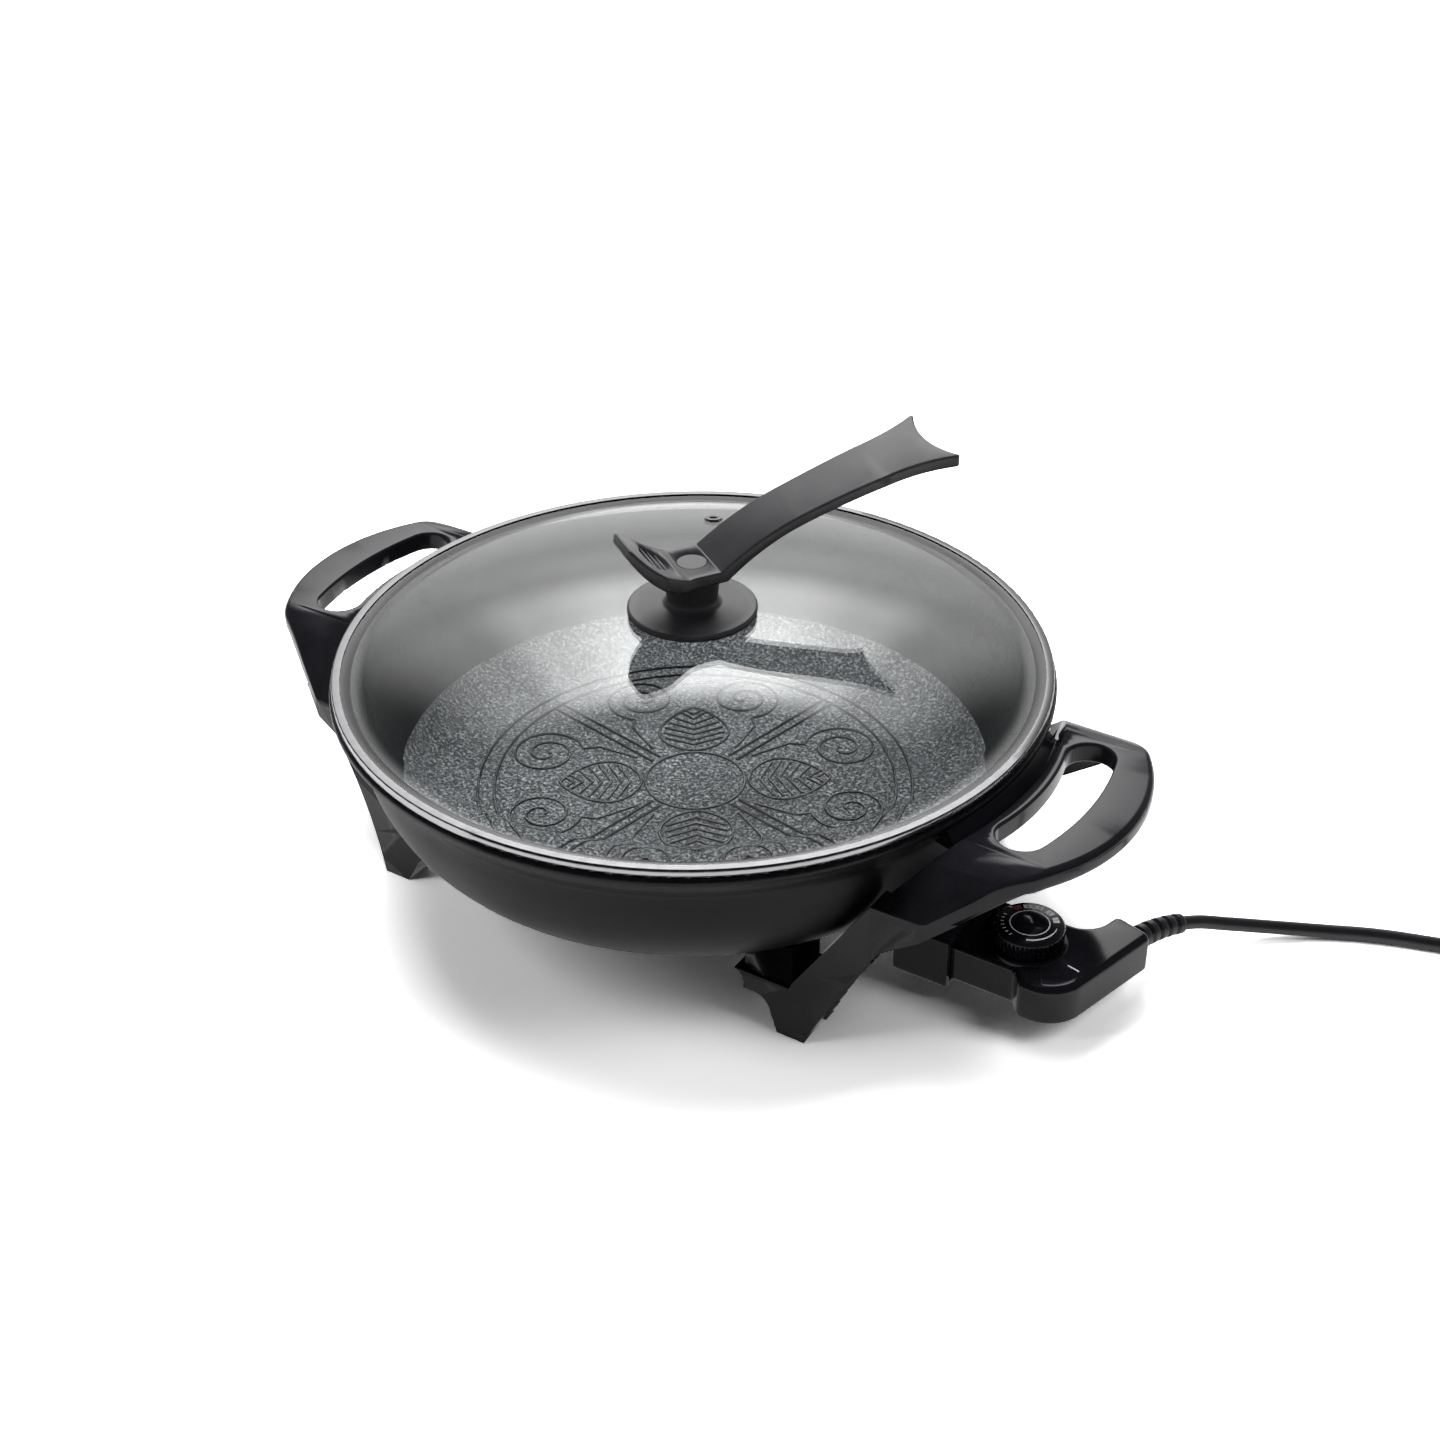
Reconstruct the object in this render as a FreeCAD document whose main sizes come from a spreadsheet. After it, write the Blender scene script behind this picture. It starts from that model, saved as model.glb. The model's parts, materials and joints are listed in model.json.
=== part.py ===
import FreeCAD
import Part
import Sketcher
import math
import os
from FreeCAD import Placement, Rotation, Vector

# Electric wok with a lift-off glass lid and a plug-in thermostat controller.
# Millimetres.  Z is up and the feet stand on z = 0.  The pan's axis is the Z axis, and the
# side where the controller plugs in is +X.

SIZES = (
    # pan
    ("pan_base_height", 39.0, "underside of the pan's base above the floor"),
    ("pan_height", 77.4, "base underside to the seat for the lid"),
    ("pan_rim_radius", 181.4, "outside of the rolled rim"),
    ("pan_rim_depth", 4.0, "height of the rim"),
    ("pan_rim_chamfer", 1.2, "broken edge of the rim"),
    ("pan_rim_width", 8.2, "rim, from the mouth that takes the lid's bead to its outside"),
    ("pan_mouth_depth", 6.6, "depth of the straight mouth"),
    ("pan_rim_overhang", 8.8, "rim beyond the wall just under it"),
    ("pan_bead_height", 62.0, "faint step round the wall, above the base underside"),
    ("pan_bead_step", 1.0, "width of that step"),
    ("pan_wall_thickness", 4.4, "cast wall near the mouth"),
    ("pan_base_inset", 65.4, "edge of the flat underside, inside the rim"),
    ("pan_base_thickness", 5.0, "base under the cooking floor"),
    ("pan_floor_inset", 4.0, "edge of the cooking floor, inside the flat underside"),
    ("pan_turn_inset", 32.9, "where the base curve meets the wall curve, inside the rim"),
    ("pan_turn_height", 9.2, "the same point above the base underside"),
    # heating element and terminals
    ("element_ring_inset", 26.0, "heating ring inside the edge of the flat underside"),
    ("element_radius", 4.0, "sheath of the heating tube"),
    ("element_inset", 0.5, "depth of its groove in the base"),
    ("lead_radius", 3.4, "cold ends of the heating tube"),
    ("terminal_spacing", 26.0, "between the two terminal pins"),
    ("terminal_radius", 2.5, "terminal pin"),
    ("pin_tip_round", 1.5, "rounded tips of the terminal and mains pins"),
    ("terminal_reach", 17.0, "pins inside the controller's nose"),
    ("insulator_radius", 5.6, "ceramic bushing"),
    ("insulator_length", 9.0, "ceramic bushing"),
    ("lead_reach", 5.0, "end of the element's cold leads inside the shroud"),
    ("probe_guide_width", 15.0, "sensor socket under the base"),
    # thermostat controller
    ("plug_axis_offset", 14.2, "probe axis from the pan's centre plane, towards the front"),
    ("plug_axis_height", 22.8, "probe axis above the floor"),
    ("nose_inset", 17.4, "front of the controller's nose, inside the pan's rim"),
    ("nose_width", 45.4, "controller's nose"),
    ("nose_length", 37.0, "controller's nose"),
    ("case_lower_depth", 10.8, "lower half of the case, below the parting line"),
    ("case_upper_height", 10.6, "upper half of the case, above the parting line"),
    ("case_wall", 2.2, "case wall"),
    ("case_corner_radius", 20.6, "big round corner of the case"),
    ("case_corner_centre", 50.6, "that corner's centre, from the front of the nose"),
    ("case_corner_offset", 10.4, "that corner's centre, in front of the probe axis"),
    ("case_arm_reach", 83.6, "outer corner of the cord arm, from the front of the nose"),
    ("case_arm_offset", 35.6, "outer corner of the cord arm, behind the probe axis"),
    ("case_arm_width", 21.7, "end of the cord arm"),
    ("case_arm_round", 4.0, "corners at the end of the arm"),
    ("case_step_radius", 5.0, "step from the nose to the big corner"),
    ("case_waist_radius", 14.0, "hollow between the nose and the arm"),
    ("case_top_round", 3.6, "rounded upper edge"),
    ("case_bottom_round", 2.6, "rounded lower edge"),
    ("dial_offset_x", 36.2, "dial axis from the front of the nose"),
    ("dial_offset_y", 2.3, "dial axis in front of the probe axis"),
    ("dial_radius", 17.0, "dial over its ribs"),
    ("dial_height", 10.4, "dial above its collar"),
    ("dial_rib_count", 48, "ribs round the dial"),
    ("dial_rib_depth", 0.5, "ribs round the dial"),
    ("dial_face_inset", 1.3, "bevel round the dial's face"),
    ("dial_collar_radius", 19.0, "raised collar under the dial"),
    ("dial_collar_height", 1.4, "raised collar under the dial"),
    ("dial_gap", 0.4, "running gap under the dial"),
    ("dial_shaft_radius", 3.0, "dial shaft"),
    ("shaft_clearance", 0.05, "radial running fit of shaft and pins"),
    ("probe_radius", 2.6, "sensing probe"),
    ("probe_inset", 10.0, "tip of the probe, inside the edge of the flat underside"),
    ("thermostat_width", 24.0, "switch block under the dial"),
    ("shaft_seat_depth", 3.0, "dial shaft in the switch block"),
    ("case_screw_bite", 5.0, "thread of the case screws in the upper half"),
    ("pilot_height", 4.5, "pilot lamp above the case"),
    ("pilot_offset_x", 26.6, "pilot lamp from the front of the nose"),
    ("pilot_inset", 5.3, "pilot lamp from the rear side of the nose"),
    ("boot_length", 32.6, "strain relief along its bend"),
    ("boot_turn", 16.0, "turn of the strain relief towards +X, degrees"),
    ("boot_droop", 12.0, "droop of the strain relief, degrees"),
    ("boot_neck_radius", 4.6, "strain relief in the case's wall"),
    ("boot_root_radius", 6.2, "strain relief where it leaves the case"),
    ("boot_tip_radius", 5.0, "strain relief at the cord"),
    ("boot_rib_count", 5, "ribs on the strain relief"),
    ("cord_radius", 3.5, "mains cord"),
    # socket shroud
    ("shroud_room", 23.0, "from the shroud's inner end to the controller's nose"),
    ("shroud_overlap", 6.0, "shroud round the controller's nose"),
    ("shroud_wall", 3.0, "socket shroud"),
    ("shroud_clearance", 0.7, "round the controller's nose"),
    ("shroud_lug_spacing", 34.0, "between the two screws that hold the shroud"),
    ("shroud_lug_radius", 5.0, "cast lug for each shroud screw"),
    ("plate_notch_clearance", 0.4, "round the screw heads at the plate's upper corners"),
    # handle and leg brackets
    ("handle_drop", 6.4, "top of the handle below the lid seat"),
    ("handle_thickness", 10.6, "handle loop"),
    ("handle_overhang", 59.6, "outer edge of the handle beyond the pan's rim"),
    ("slope_run", 23.84, "slope from the loop's flat top to the leg, front to back"),
    ("handle_bow_margin", 12.66, "radius of the bowed outer edge over the leg's half spread"),
    ("handle_corner_radius", 22.0, "corner between the bowed edge and the slope"),
    ("slope_turn", 31.5, "outer edge of the slope from the X axis, degrees"),
    ("slope_bend_radius", 24.0, "bend from the flat top into the slope"),
    ("gusset_reach", 20.0, "side wall under the slope, along the leg's outer edge"),
    ("crease_round", 4.0, "bend from the slope into the leg"),
    ("handle_edge_round", 3.6, "rounded edge of the loop"),
    ("slot_gap", 12.8, "finger slot beyond the pan's rim"),
    ("slot_width", 23.6, "finger slot across"),
    ("slot_end_margin", 15.0, "round end of the finger slot to the line where the loop slopes down"),
    ("slot_curve_radius", 144.8, "finger slot, middle of its curve"),
    ("slot_edge_round", 1.4, "finger slot, softened edge"),
    ("collar_gap", 0.8, "between the bracket and the pan's wall"),
    ("valley_gap", 7.0, "outer wall of the valley beyond the pan's rim"),
    ("valley_depth", 7.5, "valley beside the pan"),
    ("valley_width", 10.0, "valley, from its outer wall to the crest of the collar"),
    ("valley_half_angle", 16.6, "half of the valley, degrees"),
    ("crease_drop", 28.0, "top of the leg below the handle's top"),
    ("crease_inset", 3.9, "top of the leg, outer edge inside the pan's rim"),
    ("crease_width", 24.9, "top of the leg across"),
    ("leg_lean", 0.18, "inward lean of the leg for each unit of height"),
    ("leg_front_inset", 79.3, "front face of the leg at the floor, inside the pan's rim"),
    ("leg_depth", 14.5, "leg from front to back"),
    ("leg_plate", 3.6, "wall of the hollow leg"),
    ("foot_inset", 54.0, "sole of the foot, outer edge inside the pan's rim"),
    ("foot_width", 15.0, "sole of the foot across"),
    ("flange_depth", 4.5, "stiffening flange behind the leg's outer edge"),
    ("flange_step", 2.0, "flange beyond the leg's outer edge"),
    ("flange_bottom", 7.6, "lower end of the flange above the floor"),
    ("flange_top", 46.0, "upper end of the flange above the floor"),
    ("shelf_length", 26.8, "shelf under the pan, inward of the foot"),
    ("shelf_height", 25.0, "top of the shelf above the floor"),
    ("shelf_depth", 31.0, "shelf from front to back"),
    ("post_inset_x", 9.8, "middle of the leg post, inward of the foot's sole"),
    ("post_inset_y", 21.1, "middle of the leg post, behind the leg's front face"),
    ("post_size", 26.0, "leg post, side of its square"),
    ("post_wall", 3.0, "leg post"),
    ("post_top", 52.0, "top of the post's walls, before they are cut to the pan's curve"),
    ("leg_boss_radius", 7.0, "cast boss on the pan over each post"),
    ("leg_boss_length", 3.0, "boss below the pan's base underside"),
    ("screw_radius", 2.0, "leg and shroud screws"),
    ("screw_head_radius", 3.8, "leg and shroud screws"),
    ("screw_head_height", 2.4, "leg and shroud screws"),
    ("screw_bite", 5.0, "thread in the pan"),
    # lid
    ("lid_inset", 1.4, "outside of the steel band, inside the pan's rim"),
    ("lid_rest_gap", 0.2, "between the band and the pan's seat"),
    ("band_sheet", 0.5, "steel of the band"),
    ("band_lip", 4.2, "upper lip of the band"),
    ("band_lower_lip", 9.6, "lower lip of the band, to its bead"),
    ("band_bead_depth", 3.0, "bead that drops into the pan's mouth"),
    ("band_bead_width", 1.6, "bead that drops into the pan's mouth"),
    ("band_bend", 0.8, "outside of the band's folds"),
    ("band_bead_bevel", 0.4, "broken edges of the bead"),
    ("glass_thickness", 3.5, "lid glass"),
    ("glass_brim_width", 10.2, "flat brim of the glass, to the outside of the band"),
    ("glass_rise", 26.6, "dome above the brim"),
    ("glass_hole_radius", 4.2, "hole for the knob's bolt"),
    ("vent_inset", 58.0, "steam vent inside the outside of the band"),
    ("vent_bearing", 118.0, "steam vent, degrees from +X"),
    ("vent_hole_radius", 2.0, "steam vent"),
    ("vent_tube_radius", 3.0, "eyelet tube through the glass"),
    ("vent_flange_radius", 5.2, "eyelet flange"),
    ("vent_flange_height", 0.8, "eyelet flange"),
    ("knob_disc_radius", 32.4, "flared foot of the knob"),
    ("knob_disc_edge", 3.4, "edge of that foot"),
    ("knob_washer", 1.0, "silicone washer under the knob"),
    ("knob_washer_radius", 9.0, "silicone washer under the knob"),
    ("knob_stem_radius", 12.6, "stem where it leaves the foot"),
    ("knob_stem_top_radius", 14.0, "stem under the handle"),
    ("knob_height", 20.0, "knob, washer to the underside of the handle"),
    ("bolt_radius", 2.5, "bolt through the glass into the knob"),
    ("bolt_length", 14.0, "bolt under its head"),
    ("bolt_head_radius", 7.0, "bolt head inside the lid"),
    ("bolt_head_height", 2.6, "bolt head inside the lid"),
    # lid handle
    ("arm_bearing", 56.0, "direction of the arm, degrees from +X"),
    ("arm_reach", 141.0, "arm from the middle of the lid to its tip"),
    ("arm_rise", 45.0, "tip above the handle's middle"),
    ("arm_root_width", 32.0, "arm where it leaves the middle"),
    ("arm_tip_width", 54.0, "flared end of the arm"),
    ("arm_thickness", 6.6, "arm and wing"),
    ("wing_reach", 38.0, "short wing from the middle of the lid"),
    ("wing_rise", 20.0, "tip of the wing above the handle's middle"),
    ("wing_width", 42.0, "widest part of the wing"),
    ("wing_belly", 21.5, "widest part of the wing from the middle of the lid"),
    ("thumb_recess_width", 24.0, "recess for the thumb, across the wing"),
    ("thumb_recess_middle", 23.0, "widest line of the recess from the middle of the lid"),
    ("thumb_recess_depth", 1.2, "floor of the recess under the wing's face"),
    ("thumb_rib_depth", 0.45, "tops of the recess's ribs under the wing's face"),
    ("thumb_rib_width", 1.0, "each rib across the recess"),
    ("thumb_rib_pitch", 3.1, "from rib to rib"),
    ("grip_round", 1.2, "softened edges of the lid handle"),
    ("cap_radius", 7.6, "round cap over the handle's screw"),
    ("cap_depth", 1.6, "round cap over the handle's screw"),
    ("handle_screw_length", 12.0, "screw from the handle into the stem"),
    # coil and plug
    ("coil_distance", 257.4, "middle of the coil from the front of the controller's nose"),
    ("coil_radius", 38.5, "middle of the coil's turns"),
    ("plug_boot_length", 20.0, "sleeve at the back of the plug"),
    ("plug_blade_radius", 2.4, "round mains pins"),
    ("plug_blade_spacing", 19.0, "round mains pins"),
    ("plug_blade_length", 19.0, "round mains pins"),
    ("plug_face_radius", 18.5, "plug face"),
    ("plug_length", 34.0, "plug body"),
    ("plug_rim_depth", 7.0, "straight rim round the plug's face"),
)

document = FreeCAD.newDocument("ElectricWok")
sheet = document.addObject("Spreadsheet::Sheet", "Sizes")
for row, (alias, value, note) in enumerate(SIZES, start=1):
    sheet.set(f"A{row}", alias)
    sheet.set(f"B{row}", str(value))
    sheet.set(f"C{row}", note)
    sheet.setAlias(f"B{row}", alias)
document.recompute()


class Size:
    """A value worked out from the sheet, with the formula it comes from."""

    def __init__(self, number, formula):
        self.number = number
        self.formula = formula

    def __float__(self):
        return float(self.number)

    def __add__(self, other):
        return Size(self.number + float(other), f"({self.formula} + {formula_of(other)})")

    def __radd__(self, other):
        return self + other

    def __sub__(self, other):
        return Size(self.number - float(other), f"({self.formula} - {formula_of(other)})")

    def __rsub__(self, other):
        return Size(float(other) - self.number, f"({formula_of(other)} - {self.formula})")

    def __mul__(self, other):
        return Size(self.number * float(other), f"({self.formula} * {formula_of(other)})")

    def __rmul__(self, other):
        return self * other

    def __truediv__(self, other):
        return Size(self.number / float(other), f"({self.formula} / {formula_of(other)})")

    def __neg__(self):
        return Size(-self.number, f"(0 - {self.formula})")


def formula_of(value):
    return value.formula if isinstance(value, Size) else f"({value})"


class Sheet:
    """Every alias of the sheet as a Size."""


s = Sheet()
for alias, value, note in SIZES:
    setattr(s, alias, Size(float(sheet.get(alias)), f"Sizes.{alias}"))


# ---------------------------------------------------------------- helpers

class Bow:
    """The next run is an arc.  Its height is this share of its chord, to the right of travel."""

    def __init__(self, share):
        self.share = share


def flat(corner):
    return Vector(float(corner[0]), float(corner[1]), 0)


def runs_of(corners):
    """Closed outline as (start, share or None, end) for each run."""
    runs = []
    share = None
    points = [corner for corner in corners if not isinstance(corner, Bow)]
    start = corners[0]
    for item in corners[1:] + [corners[0]]:
        if isinstance(item, Bow):
            share = item.share
        else:
            runs.append((start, share, item))
            start = item
            share = None
    assert len(runs) == len(points)
    return runs


def middle_of_arc(start, share, end):
    across_x = (end[1] - start[1]) * share
    across_y = (start[0] - end[0]) * share
    return ((start[0] + end[0]) * 0.5 + across_x, (start[1] + end[1]) * 0.5 + across_y)


def rounded(corners):
    """Outline of (x, y, radius) corners with a tangent arc in each corner."""
    outline = []
    for before, corner, after in zip(corners[-1:] + corners, corners, corners[1:] + corners[:1]):
        here, radius = flat(corner), corner[2]
        came = (here - flat(before)).normalize()
        goes = (flat(after) - here).normalize()
        turn = math.atan2(came.cross(goes).z, came.dot(goes))
        if float(radius) == 0:
            outline.append((corner[0], corner[1]))
            continue
        cut = radius * abs(math.tan(turn / 2))
        outline.append((corner[0] - cut * came.x, corner[1] - cut * came.y))
        outline.append(Bow(share_of(turn)))
        outline.append((corner[0] + cut * goes.x, corner[1] + cut * goes.y))
    return outline


def share_of(turn):
    """Height of an arc as a share of its chord, from the angle it turns through."""
    return math.tan(turn / 4) / 2


def bind(target, path, value):
    if isinstance(value, Size):
        target.setExpression(path, value.formula)


def hold(sketch, geometry, end, corner):
    """Fixes one point of a sketch at the given place."""
    for kind, value, axis in (("DistanceX", corner[0], -2), ("DistanceY", corner[1], -1)):
        if not isinstance(value, Size) and float(value) == 0:
            sketch.addConstraint(Sketcher.Constraint("PointOnObject", geometry, end, axis))
            continue
        rule = Sketcher.Constraint(kind, -1, 1, geometry, end, float(value))
        bind(sketch, f"Constraints[{sketch.addConstraint(rule)}]", value)


def draw(sketch, corners):
    """Closed outline of straight runs and arcs, every corner held."""
    ends = []
    for start, share, end in runs_of(corners):
        if share is None:
            line = sketch.addGeometry(Part.LineSegment(flat(start), flat(end)))
            ends.append((line, 1, 2))
        else:
            through = middle_of_arc(start, share, end)
            first, last = (start, end) if share > 0 else (end, start)
            arc = sketch.addGeometry(Part.Arc(flat(first), flat(through), flat(last)))
            ends.append((arc, 1, 2) if share > 0 else (arc, 2, 1))
            mark = sketch.addGeometry(Part.Point(flat(through)), True)
            hold(sketch, mark, 1, through)
            sketch.addConstraint(Sketcher.Constraint("PointOnObject", mark, 1, arc))
        hold(sketch, ends[-1][0], ends[-1][1], start)
    for (edge, _, tail), (following, head, _) in zip(ends, ends[1:] + ends[:1]):
        sketch.addConstraint(Sketcher.Constraint("Coincident", edge, tail, following, head))


def draw_circle(sketch, centre, radius):
    ring = Part.Circle(flat(centre), Vector(0, 0, 1), float(radius))
    circle = sketch.addGeometry(ring)
    hold(sketch, circle, 3, centre)
    rule = Sketcher.Constraint("Radius", circle, float(radius))
    bind(sketch, f"Constraints[{sketch.addConstraint(rule)}]", radius)


def new_body(label):
    body = document.addObject("PartDesign::Body", label)
    body.Label = label
    return body


def sketch_on(body, role, away=0):
    """Sketch on one of the body's own origin planes, moved along the plane's normal."""
    sketch = body.newObject("Sketcher::SketchObject", f"{body.Name}_outline")
    plane = [item for item in body.Origin.OriginFeatures if item.Role == role][0]
    sketch.AttachmentSupport = [(plane, "")]
    sketch.MapMode = "FlatFace"
    sketch.AttachmentOffset = Placement(Vector(0, 0, float(away)), Rotation())
    bind(sketch, ".AttachmentOffset.Base.z", away)
    return sketch


def revolve(body, corners, kind="PartDesign::Revolution"):
    """Turns an outline of (radius, height) corners about the body's Z axis."""
    sketch = sketch_on(body, "XZ_Plane")
    draw(sketch, corners)
    feature = body.newObject(kind, f"{body.Name}_turned")
    feature.Profile = sketch
    feature.ReferenceAxis = (sketch, ["V_Axis"])
    feature.Angle = 360
    document.recompute()
    return feature


def revolved(label, corners):
    body = new_body(label)
    revolve(body, corners)
    return body


def pad(body, sketch, length, name="padded"):
    feature = body.newObject("PartDesign::Pad", f"{body.Name}_{name}")
    feature.Profile = sketch
    feature.Length = float(length)
    bind(feature, "Length", length)
    document.recompute()
    return feature


def pocket(body, sketch, length=None, upward=False):
    """Cuts a sketch into the body, all the way through when no length is given."""
    before = body.Shape.Volume
    feature = body.newObject("PartDesign::Pocket", f"{body.Name}_cut")
    feature.Profile = sketch
    feature.Reversed = upward
    if length is None:
        feature.Type = 1
        feature.Midplane = True
    else:
        feature.Length = float(length)
        bind(feature, "Length", length)
    document.recompute()
    if body.Shape.Volume > before - 1e-3:
        raise RuntimeError(f"{feature.Label} cuts nothing")
    return feature


def soften(body, radius, chosen, kind="PartDesign::Fillet"):
    """Rounds or bevels the edges of the body's tip that pass the test."""
    tip = body.Tip
    names = [f"Edge{i}" for i, edge in enumerate(tip.Shape.Edges, start=1) if chosen(edge)]
    feature = body.newObject(kind, f"{body.Name}_soft")
    feature.Base = (tip, names)
    setattr(feature, "Radius" if kind.endswith("Fillet") else "Size", float(radius))
    bind(feature, "Radius" if kind.endswith("Fillet") else "Size", radius)
    document.recompute()
    if "Invalid" in feature.State:
        raise RuntimeError(f"{feature.Label} failed")
    return feature


def place(item, x=0, y=0, z=0, rotation=Rotation()):
    item.Placement = Placement(Vector(float(x), float(y), float(z)), rotation)
    for axis, value in (("x", x), ("y", y), ("z", z)):
        bind(item, f".Placement.Base.{axis}", value)
    return item


def solid(label, shape, placement=Placement()):
    """A sub-part whose form needs Part's own functions."""
    item = document.addObject("Part::Feature", label)
    item.Label = label
    item.Shape = shape
    item.Placement = placement
    return item


def face_of(corners, to_space):
    """Flat face with the given outline, carried into space by to_space(x, y)."""
    edges = []
    for start, share, end in runs_of(corners):
        first = to_space(*(float(v) for v in start))
        last = to_space(*(float(v) for v in end))
        if share is None:
            edges.append(Part.LineSegment(first, last).toShape())
        else:
            through = to_space(*(float(v) for v in middle_of_arc(start, share, end)))
            edges.append(Part.Arc(first, through, last).toShape())
    return Part.Face(Part.Wire(edges))


def rounded_path(points):
    """Straight runs joined by tangent arcs, each as large as its two runs allow."""
    edges = []
    radii = []
    start = points[0]
    for before, corner, after in zip(points, points[1:], points[2:]):
        incoming = (corner - before).normalize()
        outgoing = (after - corner).normalize()
        cut = 0.45 * min((corner - before).Length, (after - corner).Length)
        half_turn = incoming.getAngle(outgoing) / 2
        radius = cut / math.tan(half_turn)
        radii.append(radius)
        arc_start = corner - incoming * cut
        arc_end = corner + outgoing * cut
        inward = (outgoing - incoming).normalize()
        centre = corner + inward * (radius / math.cos(half_turn))
        edges.append(Part.LineSegment(start, arc_start).toShape())
        edges.append(Part.Arc(arc_start, centre - inward * radius, arc_end).toShape())
        start = arc_end
    edges.append(Part.LineSegment(start, points[-1]).toShape())
    return Part.Wire(edges), radii


def tube(points, radius):
    wire, radii = rounded_path(points)
    heading = points[1] - points[0]
    section = Part.Wire(Part.Circle(points[0], heading, float(radius)).toShape())
    shape = wire.makePipeShell([section], True, False)
    wanted = math.pi * float(radius) ** 2 * wire.Length
    if abs(shape.Volume - wanted) > 0.01 * wanted:
        raise RuntimeError("a tube has the wrong volume")
    return shape, radii, wire.Length


def joined(shapes):
    whole = shapes[0].fuse(shapes[1:])
    return whole.removeSplitter()


# ---------------------------------------------------------------- levels shared by pieces

pan_mouth_radius = s.pan_rim_radius - s.pan_rim_width
pan_neck_radius = s.pan_rim_radius - s.pan_rim_overhang
pan_base_radius = s.pan_rim_radius - s.pan_base_inset
pan_floor_radius = pan_base_radius - s.pan_floor_inset
pan_turn_radius = s.pan_rim_radius - s.pan_turn_inset
element_ring_radius = pan_base_radius - s.element_ring_inset
nose_start = s.pan_rim_radius - s.nose_inset
terminal_end = nose_start + s.terminal_reach
shroud_start = nose_start - s.shroud_room
shroud_end = nose_start + s.shroud_overlap
lead_end = shroud_start + s.lead_reach
probe_end = pan_base_radius - s.probe_inset
foot_outer = s.pan_rim_radius - s.foot_inset
foot_inner = foot_outer - s.foot_width
shelf_start = foot_inner - s.shelf_length
leg_front = s.pan_rim_radius - s.leg_front_inset
post_spread_x = foot_inner - s.post_inset_x
post_spread_y = leg_front - s.post_inset_y
crease_outer = s.pan_rim_radius - s.crease_inset
crease_inner = crease_outer - s.crease_width
valley_radius = s.pan_rim_radius + s.valley_gap
valley_inner_radius = valley_radius - s.valley_width
slot_inner = s.pan_rim_radius + s.slot_gap
slot_outer = slot_inner + s.slot_width
handle_reach = s.pan_rim_radius + s.handle_overhang
lid_radius = s.pan_rim_radius - s.lid_inset
glass_brim_radius = lid_radius - s.glass_brim_width
vent_distance = lid_radius - s.vent_inset
seat = s.pan_base_height + s.pan_height
rim_bottom = seat - s.pan_rim_depth
handle_top = seat - s.handle_drop
handle_bottom = handle_top - s.handle_thickness
crease = handle_top - s.crease_drop
boss_bottom = s.pan_base_height - s.leg_boss_length
nose_half = s.nose_width / 2
case_bottom = s.plug_axis_height - s.case_lower_depth
case_top = s.plug_axis_height + s.case_upper_height
shroud_bottom = case_bottom - s.shroud_clearance - s.shroud_wall
shroud_top = case_top + s.shroud_clearance + s.shroud_wall
band_bottom = seat + s.lid_rest_gap
glass_bottom = band_bottom + s.band_sheet
glass_top = glass_bottom + s.glass_thickness
band_top = glass_top + s.band_sheet
dome_top = glass_top + s.glass_rise
washer_top = dome_top + s.knob_washer
grip_bottom = washer_top + s.knob_height
QUARTER = 0.2071
ARM_TURN = 15.8
ARM_HEADING = 90 - ARM_TURN
CORD_ROUTE = (
    (0.3877, 0.3349, 0.0369), (0.4254, 0.3726, 0.0233), (0.4728, 0.4114, 0.0117),
    (0.5466, 0.4619, 0.0004), (0.6488, 0.5117, 0.0))
COIL_OFFSET = 0.4573
COIL_ENTRY = 110.0
COIL_EXIT = -20.0
COIL_STUB = 26.0
STUB_INSET = 0.1
TAIL_TURN = -20.0
WING_SAG = -0.075
WALL_STEP = 5.0


# ---------------------------------------------------------------- pan

def pan_outside(gap=0):
    """Outside of the pan from its axis to its rim, moved outward by a gap."""
    base = s.pan_base_height - gap
    return [
        (0, base), (pan_base_radius, base), Bow(0.069),
        (pan_turn_radius + gap, base + s.pan_turn_height), Bow(0.098),
        (pan_neck_radius + gap - s.pan_bead_step - 2.4, base + s.pan_bead_height - WALL_STEP),
        (pan_neck_radius + gap - s.pan_bead_step - 1.4, base + s.pan_bead_height),
        (pan_neck_radius + gap - 1.2, base + s.pan_bead_height), Bow(-0.06),
        (s.pan_rim_radius + gap - s.pan_rim_chamfer * 2, rim_bottom - gap),
        (s.pan_rim_radius + gap, rim_bottom - gap + s.pan_rim_chamfer)]


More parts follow.
